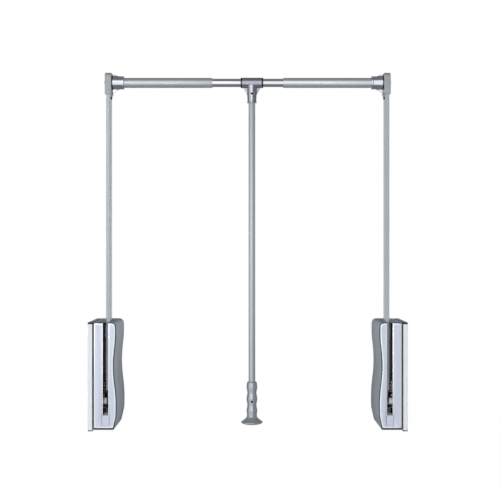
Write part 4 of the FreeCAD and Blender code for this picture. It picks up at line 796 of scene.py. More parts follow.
@dataclass
class WallUnit:
    """One of the two wall units: cover, fascia, spring and the parts that keep their CAD form."""

    side: Side
    half_width: float = 375.0
    front: float = -65.0
    rear: float = 65.0
    top: float = 255.5
    bottom: float = 4.0
    start: float = 13.3
    foot_width: float = 60.5
    knee: Point = (67.4, 34.0)
    lower_bulge: Point = (67.9, 71.0)
    lower_turn: Point = (65.0, 108.0)
    waist: Point = (61.8, 151.5)
    upper_turn: Point = (64.4, 195.0)
    upper_bulge: Point = (66.8, 228.0)
    shoulder_width: float = 66.4
    shoulder_radius: float = 11.0
    edge: float = 1.6
    rim: float = 2.4
    rim_side: float = 1.1
    rim_foot: float = 4.4
    rim_top: float = 1.8
    recess: float = 2.0
    front_wall: float = 4.5
    shell: float = 2.5
    rim_shell_share: float = 0.28
    slot_near: float = 35.3
    slot_far: float = 48.4
    slot_floor: float = 13.4
    gate_end: float = 3.5
    seat_margin: float = 2.4
    seat_top: float = 38.4
    panel: float = 1.6
    panel_fit: float = 0.2
    bevel_width: float = 2.5
    bevel_depth: float = 0.45
    seat_bevel_share: float = 0.12
    bevel_shares: tuple[Point, Point] = ((0.12, 0.72), (0.88, 0.06))
    rim_lip: float = 0.15
    soft_edge: float = 0.3
    soft_angle: float = 40.0
    skin_smooth: float = 30.0
    shell_smooth: float = 35.0
    panel_smooth: float = 50.0
    strut_from_wall: float = 28.0
    strut_y: float = 30.0
    spring_foot: float = 65.0
    spring_length: float = 64.0
    spring_radius: float = 9.7
    spring_turns: float = 7.0
    spring_bend: float = 3.0
    wire: float = 2.6
    rack_travel: float = 35.0
    pieces: list[bpy.types.Object] = field(default_factory=list)

    def berth(self, slot: str, *nodes: str) -> Berth:
        """Berth on this side's housing."""
        names = tuple(self.side.name_of(node) for node in nodes)
        return Berth(self.side.name_of("housing"), slot, names)

    def outline(self) -> Array:
        """Cover's outline as (distance from the wall, height), counter-clockwise from the foot at the wall.

        The free side is a straight knee, three arcs that wave out, in and out again, and a round shoulder.
        """
        bend, turn = self.shoulder_radius, math.sqrt(0.5)
        middle = (self.shoulder_width - bend, self.top - bend)
        shoulder = (self.shoulder_width, self.top - bend)
        crest = (middle[0] + bend * turn, middle[1] + bend * turn)
        wave = [
            arc_through(self.knee, self.lower_bulge, self.lower_turn, 20),
            arc_through(self.lower_turn, self.waist, self.upper_turn, 24)[1:],
            arc_through(self.upper_turn, self.upper_bulge, shoulder, 16)[1:],
            arc_through(shoulder, crest, (middle[0], self.top), 12)[1:],
        ]
        foot = [(self.start, self.bottom), (self.foot_width, self.bottom)]
        crown = [(self.slot_far, self.top), (self.slot_near, self.top), (self.start, self.top)]
        return np.concatenate([foot, *wave, crown])

    def edges_at(self, first: float, second: float) -> Array:
        """Which edges of the outline run from one distance from the wall to another."""
        width = self.outline()[:, 0]
        return (width == first) & (np.roll(width, -1) == second)

    def rims(self) -> Array:
        """Rim round the fascia by edge of the outline; it narrows over the shoulder and at the wall."""
        level = self.outline()[:, 1]
        middle = (level + np.roll(level, -1)) / 2
        share = np.clip((middle - self.top) / self.shoulder_radius + 1, 0.0, 1.0)
        rim = self.rim + (self.rim_top - self.rim) * share
        rim = np.where(self.edges_at(self.start, self.foot_width), self.rim_foot, rim)
        return np.where(self.edges_at(self.start, self.start), self.rim_side, rim)

    def ring(self, gap: float | Array) -> Array:
        """Outline moved inwards, as (x, height)."""
        return inset(self.outline(), gap) - np.array([self.half_width, 0.0])

    def build(self) -> None:
        """Makes the unit's own pieces."""
        self.pieces = [self.cover(), self.fascia(), self.spring()]

    def cover(self) -> bpy.types.Object:
        """Cover: one skin from the fascia's recess round the rim to the back, open at wall and slot.

        Each row of the skin is the outline moved inwards by a gap at a depth; the edge rounding follows
        gap = r (1 - sin a) and depth = r (1 - cos a), and fades out at the wall side.
        """
        rims = self.rims()
        gaps, depths = rounding(self.edge)
        free = np.where(self.edges_at(self.start, self.start), 0.0, 1.0)
        full = np.ones(len(rims))
        rows = [(rims, (self.front + self.recess) * full)]
        rows += [(rims, (self.front + self.rim_lip) * full), (rims - self.rim_lip, self.front * full)]
        rows += [(gap * free, (self.front + depth) * full) for gap, depth in zip(gaps, depths)]
        rows += [(0.0, (self.front + self.front_wall) * full), (0.0, self.gate_end * full)]
        rows += [(gap * free, (self.rear - depth) * full) for gap, depth in zip(gaps[::-1], depths[::-1])]
        grid = np.stack([along_y(self.ring(gap), y) for gap, y in rows])
        depth = np.array([row[1].max() for row in rows])
        over_slot = self.edges_at(self.slot_far, self.slot_near)
        cut = (depth[1:] <= self.gate_end)[:, None] & over_slot
        hollow = (depth[:-1] >= self.front + self.front_wall) & (depth[1:] <= self.rear - self.edge + HAIR)
        keep = ~(cut | (hollow[:, None] & self.edges_at(self.start, self.start)))
        form = Form()
        index = form.lattice(grid, keep=keep)
        # the front rim rows and the recess floor take the painted shade finish, the rest the cover's own
        # plastic
        form.paints = np.where(np.nonzero(keep)[0] < 2 + len(gaps), 1, 0).tolist()
        near = np.flatnonzero(over_slot)[0]
        notch = np.array([[self.slot_far, self.slot_floor], [self.slot_near, self.slot_floor]])
        notch[:, 0] -= self.half_width
        form.points.append(along_y(notch, np.float64(self.front + self.recess)))
        tips = [form.count, form.count + 1]
        form.count += 2
        form.polygon(np.concatenate([index[0][: near + 1], tips, index[0][near + 1 :]]), 1)
        form.polygon(index[-1][::-1])
        name = self.side.name_of("cover_shell")
        mesh = form.mesh(name, self.side, closed=False, smooth=self.skin_smooth)
        cover = add_piece(mesh, (COVER_PLASTIC, RIM_PAINTED_SHADE), self.berth("cover_plastic", "cover"))
        depth_now = np.empty(3 * len(mesh.vertices))
        mesh.vertices.foreach_get("co", depth_now)
        thick = cover.vertex_groups.new(name="full_wall")
        behind = np.flatnonzero(depth_now[1::3] > (self.front + self.front_wall - HAIR) * MM)
        thick.add(behind.tolist(), 1.0, "REPLACE")
        wall = cover.modifiers.new("wall", "SOLIDIFY")
        wall.thickness, wall.offset, wall.use_even_offset = self.shell * MM, -1.0, True
        wall.vertex_group, wall.thickness_vertex_group = "full_wall", self.rim_shell_share
        soft = cover.modifiers.new("soft_edges", "BEVEL")
        soft.width, soft.segments, soft.limit_method = self.soft_edge * MM, 2, "ANGLE"
        soft.angle_limit = math.radians(self.soft_angle)
        settle(cover, self.shell_smooth)
        return cover

    def fascia(self) -> bpy.types.Object:
        """Fascia: the outline moved into the recess, notched for slot and bumper, with a bevel painted
        near-white as a highlight.
        """
        loop = self.ring(self.rims() + self.panel_fit)
        near = int(np.flatnonzero(self.edges_at(self.slot_far, self.slot_near))[0])
        far, close = self.slot_far - self.half_width, self.slot_near - self.half_width
        low = self.slot_floor - self.panel_fit
        notch = [
            (far, self.seat_top),
            (far + self.seat_margin, self.seat_top),
            (far + self.seat_margin, low),
            (close - self.seat_margin, low),
            (close - self.seat_margin, self.seat_top),
            (close, self.seat_top),
        ]
        loop = np.concatenate([loop[: near + 1], notch, loop[near + 1 :]])
        back = self.front + self.recess
        face = back - self.panel
        stations = [
            (0.0, back),
            (0.0, face + self.bevel_depth),
            *((self.bevel_width * u, face + self.bevel_depth * v) for u, v in self.bevel_shares),
            (self.bevel_width, face),
        ]
        form = Form()
        shares = np.ones(len(loop))
        shares[near + 1 : near + len(notch)] = self.seat_bevel_share
        # the bevel and the edges take the painted highlight finish, the face the brushed foil
        form.prism(loop, np.array(stations), along_y, paints=(1, 1, 1, 1, 0), shares=shares)
        mesh = form.mesh(self.side.name_of("fascia_panel"), self.side, smooth=self.panel_smooth)
        return add_piece(mesh, (FASCIA_FOIL, FASCIA_BEVEL_HIGHLIGHT), self.berth("fascia_plastic", "front_fascia"))

    def spring_path(self) -> tuple[Array, Array]:
        """Centre line of the spring's wire, and the direction away from the spring's axis at each point.

        The wire rises straight, bends over by a quarter circle less the slope of the coil, climbs as
        (r cos a, r sin a, c a), and ends with the same bend and straight end the other way up.
        """
        rise = (self.spring_length - 2 * self.wire - 2 * self.spring_bend) / (TAU * self.spring_turns)
        slope = math.atan2(rise, self.spring_radius)
        lead = self.spring_length - 2 * self.wire - 2 * self.spring_bend * math.cos(slope)
        rise = lead / (TAU * self.spring_turns)
        slope = math.atan2(rise, self.spring_radius)
        swing = np.linspace(0.0, math.pi / 2 - slope, 10)
        centre_s = self.spring_bend * math.sin(slope)
        bend_s = centre_s - self.spring_bend * np.cos(swing)
        bend_z = self.wire + self.spring_bend * np.sin(swing)
        tail_z = np.linspace(0.0, self.wire, 4)[:-1]
        low = self.wire + self.spring_bend * math.cos(slope)
        turn = np.linspace(0.0, TAU * self.spring_turns, int(72 * self.spring_turns))[1:-1]
        shift = np.concatenate([np.full(3, bend_s[0]), bend_s])
        level = np.concatenate([tail_z, bend_z])
        last = TAU * self.spring_turns
        angle = np.concatenate([np.zeros(len(shift)), turn, np.full(len(shift), last)])
        aside = np.stack([np.cos(angle), np.sin(angle), np.zeros(len(angle))], axis=-1)
        forward = np.stack([-np.sin(angle), np.cos(angle), np.zeros(len(angle))], axis=-1)
        along = np.concatenate([shift, np.zeros(len(turn)), -shift[::-1]])
        height = np.concatenate([level, low + rise * turn, self.spring_length - level[::-1]])
        path = self.spring_radius * aside + along[:, None] * forward
        path[:, 2] = height
        path += np.array([self.strut_from_wall - self.half_width, self.strut_y, self.spring_foot])
        return path, aside

    def spring(self) -> bpy.types.Object:
        """Return spring: a round wire along its path."""
        form = Form()
        path, aside = self.spring_path()
        form.wire(path, aside, self.wire / 2)
        mesh = form.mesh(self.side.name_of("return_spring"), self.side)
        spring = add_piece(mesh, (SPRING_STEEL,), self.berth("spring_steel", "spring"))
        self.side.name_of("rack_slide")
        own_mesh(spring)
        return spring


# ---------------------------------------------------------------- screws


@dataclass(frozen=True)
class ScrewHead:
    """Domed screw head with a cross recess, on a shank."""

    radius: float
    height: float
    shank_radius: float
    shank_length: float
    recess_share: float = 0.62
    recess_blur: float = 0.16
    recess_depth_share: float = 0.62
    groove_share: float = 0.17
    groove_blur: float = 0.08
    crown_fall: float = 0.45
    segments: int = 96

    def add_to(self, form: Form, lay: Callable[[Array, Array, Array], Array]) -> None:
        """Adds the screw to a form.

        The head's top is a polar grid whose height is h (1 - f p^4) at the share p of the radius, with f the
        crown's fall, less the cross: the larger of two crossed grooves, each a product of two ramps.

        Args:
            form: Form that gets the screw.
            lay: How places across and along the screw, the head upwards, become points.
        """
        share = np.concatenate([np.linspace(0.0, 0.9, 19), [0.94, 0.97, 0.99, 1.0]])
        turn = np.linspace(0, TAU, self.segments, endpoint=False)
        u, v = share[:, None] * np.cos(turn), share[:, None] * np.sin(turn)

        def groove(a: Array, b: Array) -> Array:
            """One arm pair of the cross."""
            wide = np.clip((self.groove_share - np.abs(a)) / self.groove_blur + 0.5, 0, 1)
            long = np.clip((self.recess_share - np.abs(b)) / self.recess_blur + 0.5, 0, 1)
            return wide * long

        cross = np.maximum(groove(u, v), groove(v, u))
        crown = self.height * (1 - self.crown_fall * share[:, None] ** 4)
        crown = crown - self.recess_depth_share * self.height * cross
        grid = [lay(u * self.radius, v * self.radius, crown)]
        shank = self.shank_radius / self.radius
        for radius, level in ((1.0, 0.0), (shank, 0.0), (shank, -self.shank_length)):
            ring = self.radius * radius * np.stack([np.cos(turn), np.sin(turn)])
            grid.append(lay(ring[0][None], ring[1][None], np.full((1, self.segments), level)))
        index = form.lattice(np.concatenate(grid))
        form.polygon(index[-1])


# ---------------------------------------------------------------- lift: arms, corners and outer tubes


@dataclass
class Lift:
    """One lifting arm with its corner connector, screws and outer tube."""

    side: Side
    arm_x: float = -333.0
    arm_y: float = -13.0
    arm_foot: float = 91.0
    arm_top: float = 797.0
    arm_half_x: float = 5.0
    arm_half_y: float = 15.0
    arm_corner: float = 1.7
    arm_wall: float = 1.2
    rod_z: float = 826.7
    head_half: float = 8.0
    head_radius: float = 18.0
    head_edge: float = 2.2
    crown_height: float = 16.6
    head_power: float = 4.5
    neck: float = 2.4
    barrel_end: float = -296.0
    barrel_radius: float = 15.5
    barrel_root: float = 16.5
    barrel_sink: float = 4.0
    neck_run: Point = (1.7, 2.1)
    collar_run: Place = (3.4, 3.0, 0.8)
    collar_swell: Point = (0.1, 0.7)
    fin_half: float = 2.2
    fin_ease: float = 0.5
    gusset_foot: float = 798.5
    gusset_sink: float = 2.0
    gusset_bow: Point = (10.5, 2.0)
    gusset_reach: float = 25.0
    ridge_foot: float = 14.5
    ridge_reach: float = 18.0
    ridge_drop: float = 3.0
    casting_grain: float = 0.45
    casting_rounds: int = 6
    rod_screw: ScrewHead = ScrewHead(9.5, 2.3, 2.0, 33.0)
    arm_screw: ScrewHead = ScrewHead(3.5, 2.8, 2.0, 5.0)
    arm_screw_drop: float = 6.5
    tube_start: float = -320.0
    tube_end: float = -85.0
    tube_radius: float = 12.0
    tube_bore: float = 11.0
    ease: float = 0.4
    ease_share: float = 0.3

    def berth(self, slot: str, *nodes: str) -> Berth:
        """Berth on this side's lifting arm."""
        names = tuple(self.side.name_of(node) for node in nodes)
        return Berth(self.side.name_of("lift"), slot, names)

    def build(self) -> None:
        """Makes the lift's own pieces."""
        self.arm()
        self.corner()
        self.screws()
        self.tube()

    def arm(self) -> bpy.types.Object:
        """Arm: a flat tube, its rounded section carried straight up, outside and inside, with eased ends."""
        loop = round_box(self.arm_half_x, self.arm_half_y, self.arm_corner, 10)
        loop += np.array([self.arm_x, self.arm_y])
        stations = [
            (0.0, self.arm_foot + self.ease),
            (0.0, self.arm_top),
            (self.arm_wall, self.arm_top),
            (self.arm_wall, self.arm_foot),
            (self.ease, self.arm_foot),
        ]
        form = Form()
        rings = [along_z(inset(loop, gap), np.float64(height)) for gap, height in stations]
        form.lattice(np.stack(rings), wrap_rows=True)
        mesh = form.mesh(self.side.name_of("arm_tube"), self.side)
        return add_piece(mesh, (ARM_ALUMINIUM,), self.berth("arm_aluminium", "arm"))

    def corner(self) -> bpy.types.Object:
        """Corner connector: a head, a tapered barrel with a collar, a gusset below and a ridge above.

        The head's top is half a superellipse, (r |cos a|^(2/n), h |sin a|^(2/n)) with the signs kept.
        """
        form = Form()
        shoulder = self.rod_z + self.head_radius / 3
        turn = np.linspace(0.0, math.pi, 33)
        spread = np.stack([np.cos(turn), np.sin(turn)], axis=-1)
        crown = np.sign(spread) * np.abs(spread) ** (2 / self.head_power)
        crown = crown * [self.head_radius, self.crown_height] + [self.arm_y, shoulder]
        front, back = self.arm_y - self.head_radius, self.arm_y + self.head_radius
        loop = np.concatenate([crown, [[front, self.arm_top], [back, self.arm_top]]])
        gaps, depths = rounding(self.head_edge)
        near, far = self.arm_x - self.head_half, self.arm_x + self.head_half
        stations = [*zip(gaps, near + depths), *zip(gaps[::-1], far - depths[::-1])]
        form.prism(loop, np.array(stations), along_x)
        end, start = self.barrel_end, far - self.barrel_sink
        rise, full, ease = (end - run for run in self.collar_run)
        profile = [
            (start, 0.0),
            (start, self.barrel_root - self.neck),
            (far + self.neck_run[0], self.barrel_root - self.neck),
            (far + self.neck_run[1], self.barrel_root),
            (rise, self.barrel_radius + self.collar_swell[0]),
            (full, self.barrel_radius + self.collar_swell[1]),
            (ease, self.barrel_radius + self.collar_swell[1]),
            (end, self.barrel_radius),
            (end, 0.0),
        ]
        form.turned(profile, Axis.X, np.array([self.arm_y, self.rod_z]))
        foot, floor = self.gusset_foot, self.rod_z - self.tube_radius - self.gusset_sink
        bow = (far + self.gusset_bow[0], (foot + floor) / 2 + self.gusset_bow[1])
        sag = arc_through((far, foot), bow, (far + self.gusset_reach, floor), 12)
        gusset = np.concatenate([sag, [[start, floor], [start, foot]]])
        ridge = np.array(
            [
                [start, self.rod_z + self.ridge_foot],
                [far + self.ridge_reach, self.rod_z + self.ridge_foot],
                [far + self.ridge_reach, self.rod_z + self.barrel_radius],
                [start, shoulder + self.head_radius - self.ridge_drop],
            ]
        )
        for fin in (gusset, ridge):
            form.prism(fin, slab(self.arm_y, self.fin_half, self.fin_ease), along_y)
        mesh = form.mesh(self.side.name_of("corner_casting"), self.side)
        corner = add_piece(mesh, (CORNER_CHROME,), self.berth("corner_chrome", "corner_connector"))
        cast(corner, self.casting_grain, self.casting_rounds)
        return corner

    def screws(self) -> bpy.types.Object:
        """Screws of the corner: a large one through the head into the rod, a small one through the arm."""
        form = Form()
        outer, inner = self.arm_x - self.head_half, self.arm_x + self.arm_half_x

        def outwards(u: Array, v: Array, level: Array) -> Array:
            """Lays the rod screw's head on the head's outer face."""
            level = np.broadcast_to(level, u.shape)
            return np.stack([outer - level, self.arm_y + u, self.rod_z + v], axis=-1)

        def inwards(u: Array, v: Array, level: Array) -> Array:
            """Lays the arm screw's head on the arm's inner side."""
            level = np.broadcast_to(level, u.shape)
            return np.stack([inner + level, self.arm_y + u, self.arm_top - self.arm_screw_drop + v], axis=-1)

        self.rod_screw.add_to(form, outwards)
        self.arm_screw.add_to(form, inwards)
        mesh = form.mesh(self.side.name_of("corner_screw_pair"), self.side)
        return add_piece(mesh, (CORNER_SCREW,), self.berth("screw_steel", "corner_screws"))

    def tube(self) -> bpy.types.Object:
        """Outer tube: a ring turned about the rod's axis, with an eased mouth."""
        end, ease = self.tube_end, self.ease
        blunt = ease * self.ease_share
        profile = [
            (self.tube_start, self.tube_bore),
            (self.tube_start, self.tube_radius),
            (end - ease, self.tube_radius),
            (end - blunt, self.tube_radius - blunt),
            (end, self.tube_radius - ease),
            (end, self.tube_bore),
        ]
        form = Form()
        form.turned(profile, Axis.X, np.array([self.arm_y, self.rod_z]), closed=True)
        mesh = form.mesh(self.side.name_of("rod_outer_tube"), self.side)
        return add_piece(mesh, (OUTER_TUBE_STEEL,), self.berth("outer_tube_steel", "outer_tube"))


# ---------------------------------------------------------------- centre: inner tube, tee, handle and grip


@dataclass
class PullHandle:
    """Inner tube of the rod with the tee that turns on it, the handle tube and the grip."""

    x: float = 10.0
    y: float = -13.0
    rod_z: float = 826.7
    inner_half: float = 175.0
    inner_radius: float = 10.0
    inner_bore: float = 9.0
    tee_half: float = 24.0
    tee_radius: float = 12.5
    tee_bore: float = 11.2
    tee_ease: float = 0.6
    tee_grain: float = 0.42
    tee_rounds: int = 6
    bore_overrun: float = 5.0
    flange: float = 3.0
    flange_radius: float = 12.2
    flange_ease: float = 0.5
    flange_blunt: float = 0.15
    bush_bore: float = 10.08
    sleeve_length: float = 12.0
    sleeve_fit: float = 0.05
    socket_foot: float = 778.0
    socket_low: float = 10.8
    socket_high: float = 11.8
    socket_lip: float = 11.4
    lip_height: float = 3.5
    lip_ease: float = 0.5
    lip_fall: float = 0.4
    socket_sink: float = 6.0
    web_reach: float = 21.0
    web_foot: float = 793.0
    web_foot_half: float = 8.0
    web_knee: float = 4.0
    web_sink: float = 1.5
    web_half: float = 2.2
    web_ease: float = 0.5
    tube_radius: float = 8.0
    tube_bore: float = 7.0
    tube_foot: float = 32.0
    tube_top: float = 812.0
    grip_foot: float = 8.6
    grip_top: float = 110.0
    grip_radius: float = 12.1
    grip_swell: float = 1.0
    grip_pitch: float = 29.0
    grip_smooth: float = 40.0
    wave_count: float = 2.5
    wave_fade: float = 6.0
    mouth_depth: float = 12.0
    mouth_bore: Point = (8.02, 8.06)
    mouth_rim: float = 9.0
    shoulder_start: float = 9.4
    shoulder_swell: float = 2.7
    shoulder_drop: float = 5.5
    flare_top: float = 26.5
    flare_drop: float = 11.9
    flare_swell: float = 13.3
    flare_power: float = 1.53
    flare_rim: tuple[Point, Point, Point] = ((14.6, 25.4), (12.4, 26.0), (10.2, 23.6))
    sole_rise: float = 0.3
    sole_edge: float = 20.8
    sole_flat: float = 18.0
    small_screw: ScrewHead = ScrewHead(2.7, 1.2, 1.6, 5.0)
    screw_recess: float = 2.9
    recess_mouth: float = 16.0
    tee_screw: Point = (10.4, 799.4)
    grip_screw: Point = (11.4, 63.0)
    ease_share: float = 0.3

    def berth(self, slot: str, *nodes: str) -> Berth:
        """Berth on the handle."""
        return Berth("handle", slot, nodes)

    def build(self) -> None:
        """Makes the pieces of the centre."""
        self.inner_tube()
        self.tee()
        self.end_rings()
        self.handle_tube()
        self.grip()
        self.screw("tee_screw", *self.tee_screw)
        self.screw("grip_screw", *self.grip_screw)

    def ring(self, start: float, end: float, radius: float, bore: float, ease: float = 0.3) -> Array:
        """Profile of a tube with eased outer edges, as a closed loop of (along, radius)."""
        blunt = ease * self.ease_share
        return np.array(
            [
                (start, bore),
                (start, radius - ease),
                (start + blunt, radius - blunt),
                (start + ease, radius),
                (end - ease, radius),
                (end - blunt, radius - blunt),
                (end, radius - ease),
                (end, bore),
            ]
        )

    def inner_tube(self) -> bpy.types.Object:
        """Inner tube of the rod."""
        form = Form()
        profile = self.ring(-self.inner_half, self.inner_half, self.inner_radius, self.inner_bore)
        form.turned(profile, Axis.X, np.array([self.y, self.rod_z]), closed=True)
        berth = Berth("centre_rod", "inner_tube_chrome", ("inner_tube",))
        return add_piece(form.mesh("rod_inner_tube"), (INNER_TUBE_CHROME,), berth)

    def bore_tool(self, form: Form, name: str) -> bpy.types.Object:
        """Object that is cut out of a casting."""
        tool = bpy.data.objects.new(name, form.mesh(name))
        bpy.context.scene.collection.objects.link(tool)
        return tool

    def recess_tool(self, name: str, seat: float, level: float) -> bpy.types.Object:
        """Round tool that sinks a screw's seat from the front, at a distance from the handle's axis."""
        turn = np.linspace(0, TAU, 48, endpoint=False)
        circle = self.screw_recess * np.stack([np.cos(turn), np.sin(turn)], axis=-1)
        form = Form()
        stations = np.array([(0.0, self.y - seat), (0.0, self.y - self.recess_mouth)])
        form.prism(circle + np.array([self.x, level]), stations, along_y)
        return self.bore_tool(form, name)

    def tee(self) -> bpy.types.Object:
        """Tee: a barrel, a tapered socket with a lip and two webs, run together, bored and countersunk."""
        form = Form()
        across = np.array([self.y, self.rod_z])
        low, high = self.x - self.tee_half, self.x + self.tee_half
        ease = self.tee_ease
        barrel = [(low, 0.0), (low, self.tee_radius - ease), (low + ease, self.tee_radius)]
        barrel += [(high - ease, self.tee_radius), (high, self.tee_radius - ease), (high, 0.0)]
        form.turned(barrel, Axis.X, across)
        foot, lip = self.socket_foot, self.socket_foot + self.lip_height
        head = self.rod_z - self.socket_sink
        socket = [(foot, 0.0), (foot, self.socket_lip - self.lip_ease)]
        socket += [(foot + self.lip_ease, self.socket_lip), (lip - self.lip_fall, self.socket_lip)]
        socket += [(lip, self.socket_low)]
        socket += [(self.rod_z - self.tee_radius, self.socket_high), (head, self.socket_high), (head, 0.0)]
        form.turned(socket, Axis.Z, np.array([self.x, self.y]))
        top, knee = self.rod_z - self.tee_radius + self.web_sink, self.web_foot + self.web_knee
        web = np.array(
            [
                [self.x - self.web_foot_half, self.web_foot],
                [self.x + self.web_foot_half, self.web_foot],
                [self.x + self.socket_low, knee],
                [self.x + self.web_reach, top],
                [self.x - self.web_reach, top],
                [self.x - self.socket_low, knee],
            ]
        )
        form.prism(web, slab(self.y, self.web_half, self.web_ease), along_y)
        tee = add_piece(form.mesh("tee_casting"), (TEE_CHROME,), self.berth("tee_chrome", "tee_connector"))
        bore = Form()
        first, last = low - self.bore_overrun, high + self.bore_overrun
        drill = [(first, 0.0), (first, self.tee_bore), (last, self.tee_bore), (last, 0.0)]
        bore.turned(drill, Axis.X, across)
        tools = (self.bore_tool(bore, "tee_bore_tool"), self.recess_tool("tee_recess_tool", *self.tee_screw))
        cast(tee, self.tee_grain, self.tee_rounds, tools)
        return tee

    def end_rings(self) -> bpy.types.Object:
        """End bushes of the tee: a flange and a sleeve on each side."""
        form = Form()
        for sign in (-1.0, 1.0):
            inner, outer = self.x + sign * self.tee_half, self.x + sign * (self.tee_half + self.flange)
            sleeve = inner - sign * self.sleeve_length
            profile = [
                (sleeve, self.bush_bore),
                (sleeve, self.tee_bore - self.sleeve_fit),
                (inner, self.tee_bore - self.sleeve_fit),
                (inner, self.flange_radius),
                (outer - sign * self.flange_ease, self.flange_radius),
                (outer - sign * self.flange_blunt, self.flange_radius - self.flange_blunt),
                (outer, self.flange_radius - self.flange_ease),
                (outer, self.bush_bore),
            ]
            form.turned(profile, Axis.X, np.array([self.y, self.rod_z]), closed=True)
        return add_piece(form.mesh("tee_end_rings"), (DARK_NYLON,), self.berth("dark_nylon", "tee_bushes"))

    def handle_tube(self) -> bpy.types.Object:
        """Handle tube between the tee and the grip."""
        form = Form()
        profile = self.ring(self.tube_foot, self.tube_top, self.tube_radius, self.tube_bore)
        form.turned(profile, Axis.Z, np.array([self.x, self.y]), closed=True)
        mesh = form.mesh("handle_pole")
        return add_piece(mesh, (HANDLE_STEEL,), self.berth("handle_steel", "handle_tube"))

    def grip_profile(self) -> Array:
        """Grip's profile as (height, radius), from inside its mouth to the middle of its foot.

        A quarter ellipse for the shoulder, R + A sin(2 pi d / p) for the finger waves, a power curve for the
        flare, an arc for its rim and a shallow cone for its underside.
        """
        top, deep = self.grip_top, self.grip_top - self.mouth_depth
        turn = np.linspace(0, math.pi / 2, 12)
        bend = self.shoulder_start + self.shoulder_swell * np.sin(turn)
        shoulder = np.stack([top - self.shoulder_drop * (1 - np.cos(turn)), bend], axis=-1)
        run = self.wave_count * self.grip_pitch
        down = np.linspace(0, run, 90)[1:]
        ease = np.clip((run - down) / self.wave_fade, 0, 1)
        swell = self.grip_swell * np.sin(TAU * down / self.grip_pitch) * ease
        waves = np.stack([top - self.shoulder_drop - down, self.grip_radius + swell], axis=-1)
        share = np.linspace(0, 1, 24)
        spread = self.grip_radius + self.flare_swell * share**self.flare_power
        flare = np.stack([self.flare_top - self.flare_drop * share, spread], axis=-1)
        rim = arc_through(*self.flare_rim, 10)[1:]
        mouth = [(deep, 0.0), (deep, self.mouth_bore[0]), (top, self.mouth_bore[1]), (top, self.mouth_rim)]
        foot = self.grip_foot
        sole = [(foot + self.sole_rise, self.sole_edge), (foot, self.sole_flat), (foot, 0.0)]
        return np.concatenate([mouth, shoulder, waves, flare, rim, sole])

    def grip(self) -> bpy.types.Object:
        """Grip: its profile turned about the handle, countersunk for its screw."""
        form = Form()
        form.turned(self.grip_profile(), Axis.Z, np.array([self.x, self.y]), segments=128)
        grip = add_piece(form.mesh("waved_grip"), (GRIP_PLASTIC,), self.berth("grip_plastic", "grip"))
        tool = self.recess_tool("grip_recess_tool", *self.grip_screw)
        cut = grip.modifiers.new("recess", "BOOLEAN")
        cut.operation, cut.object, cut.solver = "DIFFERENCE", tool, "EXACT"
        settle(grip, self.grip_smooth)
        bpy.data.objects.remove(tool)
        return grip

    def screw(self, node: str, seat: float, level: float) -> bpy.types.Object:
        """Small dark screw from the front, its head on a seat at a distance from the handle's axis."""
        form = Form()

        def forwards(u: Array, v: Array, rise: Array) -> Array:
            """Lays the screw's head towards the front."""
            return np.stack([self.x + u, self.y - seat - np.broadcast_to(rise, u.shape), level + v], axis=-1)

        self.small_screw.add_to(form, forwards)
        return add_piece(form.mesh(f"{node}_head"), (DARK_SCREW,), self.berth("dark_screw", node))


# ---------------------------------------------------------------- studio


@dataclass(frozen=True)
class Lamp:
    """Soft rectangular lamp: where it hangs, what it faces, its two sides and its power in watts."""

    name: str
    place: Place
    aim: Place
    width: float
    height: float
    power: float

    def hang(self) -> None:
        """Puts the lamp into the scene, turned to what it faces."""
        data = bpy.data.lights.new(self.name, "AREA")
        data.shape, data.size, data.size_y, data.energy = "RECTANGLE", self.width, self.height, self.power
        lamp = bpy.data.objects.new(self.name, data)
        lamp.location = self.place
        ahead = np.subtract(self.aim, self.place)
        flat = math.hypot(ahead[0], ahead[1])
        lamp.rotation_euler = (math.atan2(flat, -ahead[2]), 0.0, math.atan2(-ahead[0], ahead[1]))
        lamp.visible_glossy = lamp.visible_camera = False
        bpy.context.scene.collection.objects.link(lamp)


@dataclass(frozen=True)
class Softbox:
    """Bright field that metal mirrors, in degrees from straight ahead, right and up positive."""

    left: float
    right: float
    low: float
    high: float
    blur: float
    level: float

    def glow(
        self, graph: Graph, turn: bpy.types.NodeSocket, rise: bpy.types.NodeSocket
    ) -> bpy.types.NodeSocket:
        """Level of the field: the product of four smooth steps, one at each of its sides.

        Args:
            graph: Graph of the world.
            turn: Turn to the right, in radians.
            rise: Rise above the level, in radians.

        Returns:
            Level of the field in each direction.
        """
        level: bpy.types.NodeSocket | float = self.level
        for amount, edge, inwards in (
            (turn, self.left, 1.0),
            (turn, self.right, -1.0),
            (rise, self.low, 1.0),
            (rise, self.high, -1.0),
        ):
            outer, inner = edge - inwards * self.blur / 2, edge + inwards * self.blur / 2
            ramp = graph.step(amount, math.radians(outer), math.radians(inner))
            level = graph.math("MULTIPLY", ramp, level)
        return level


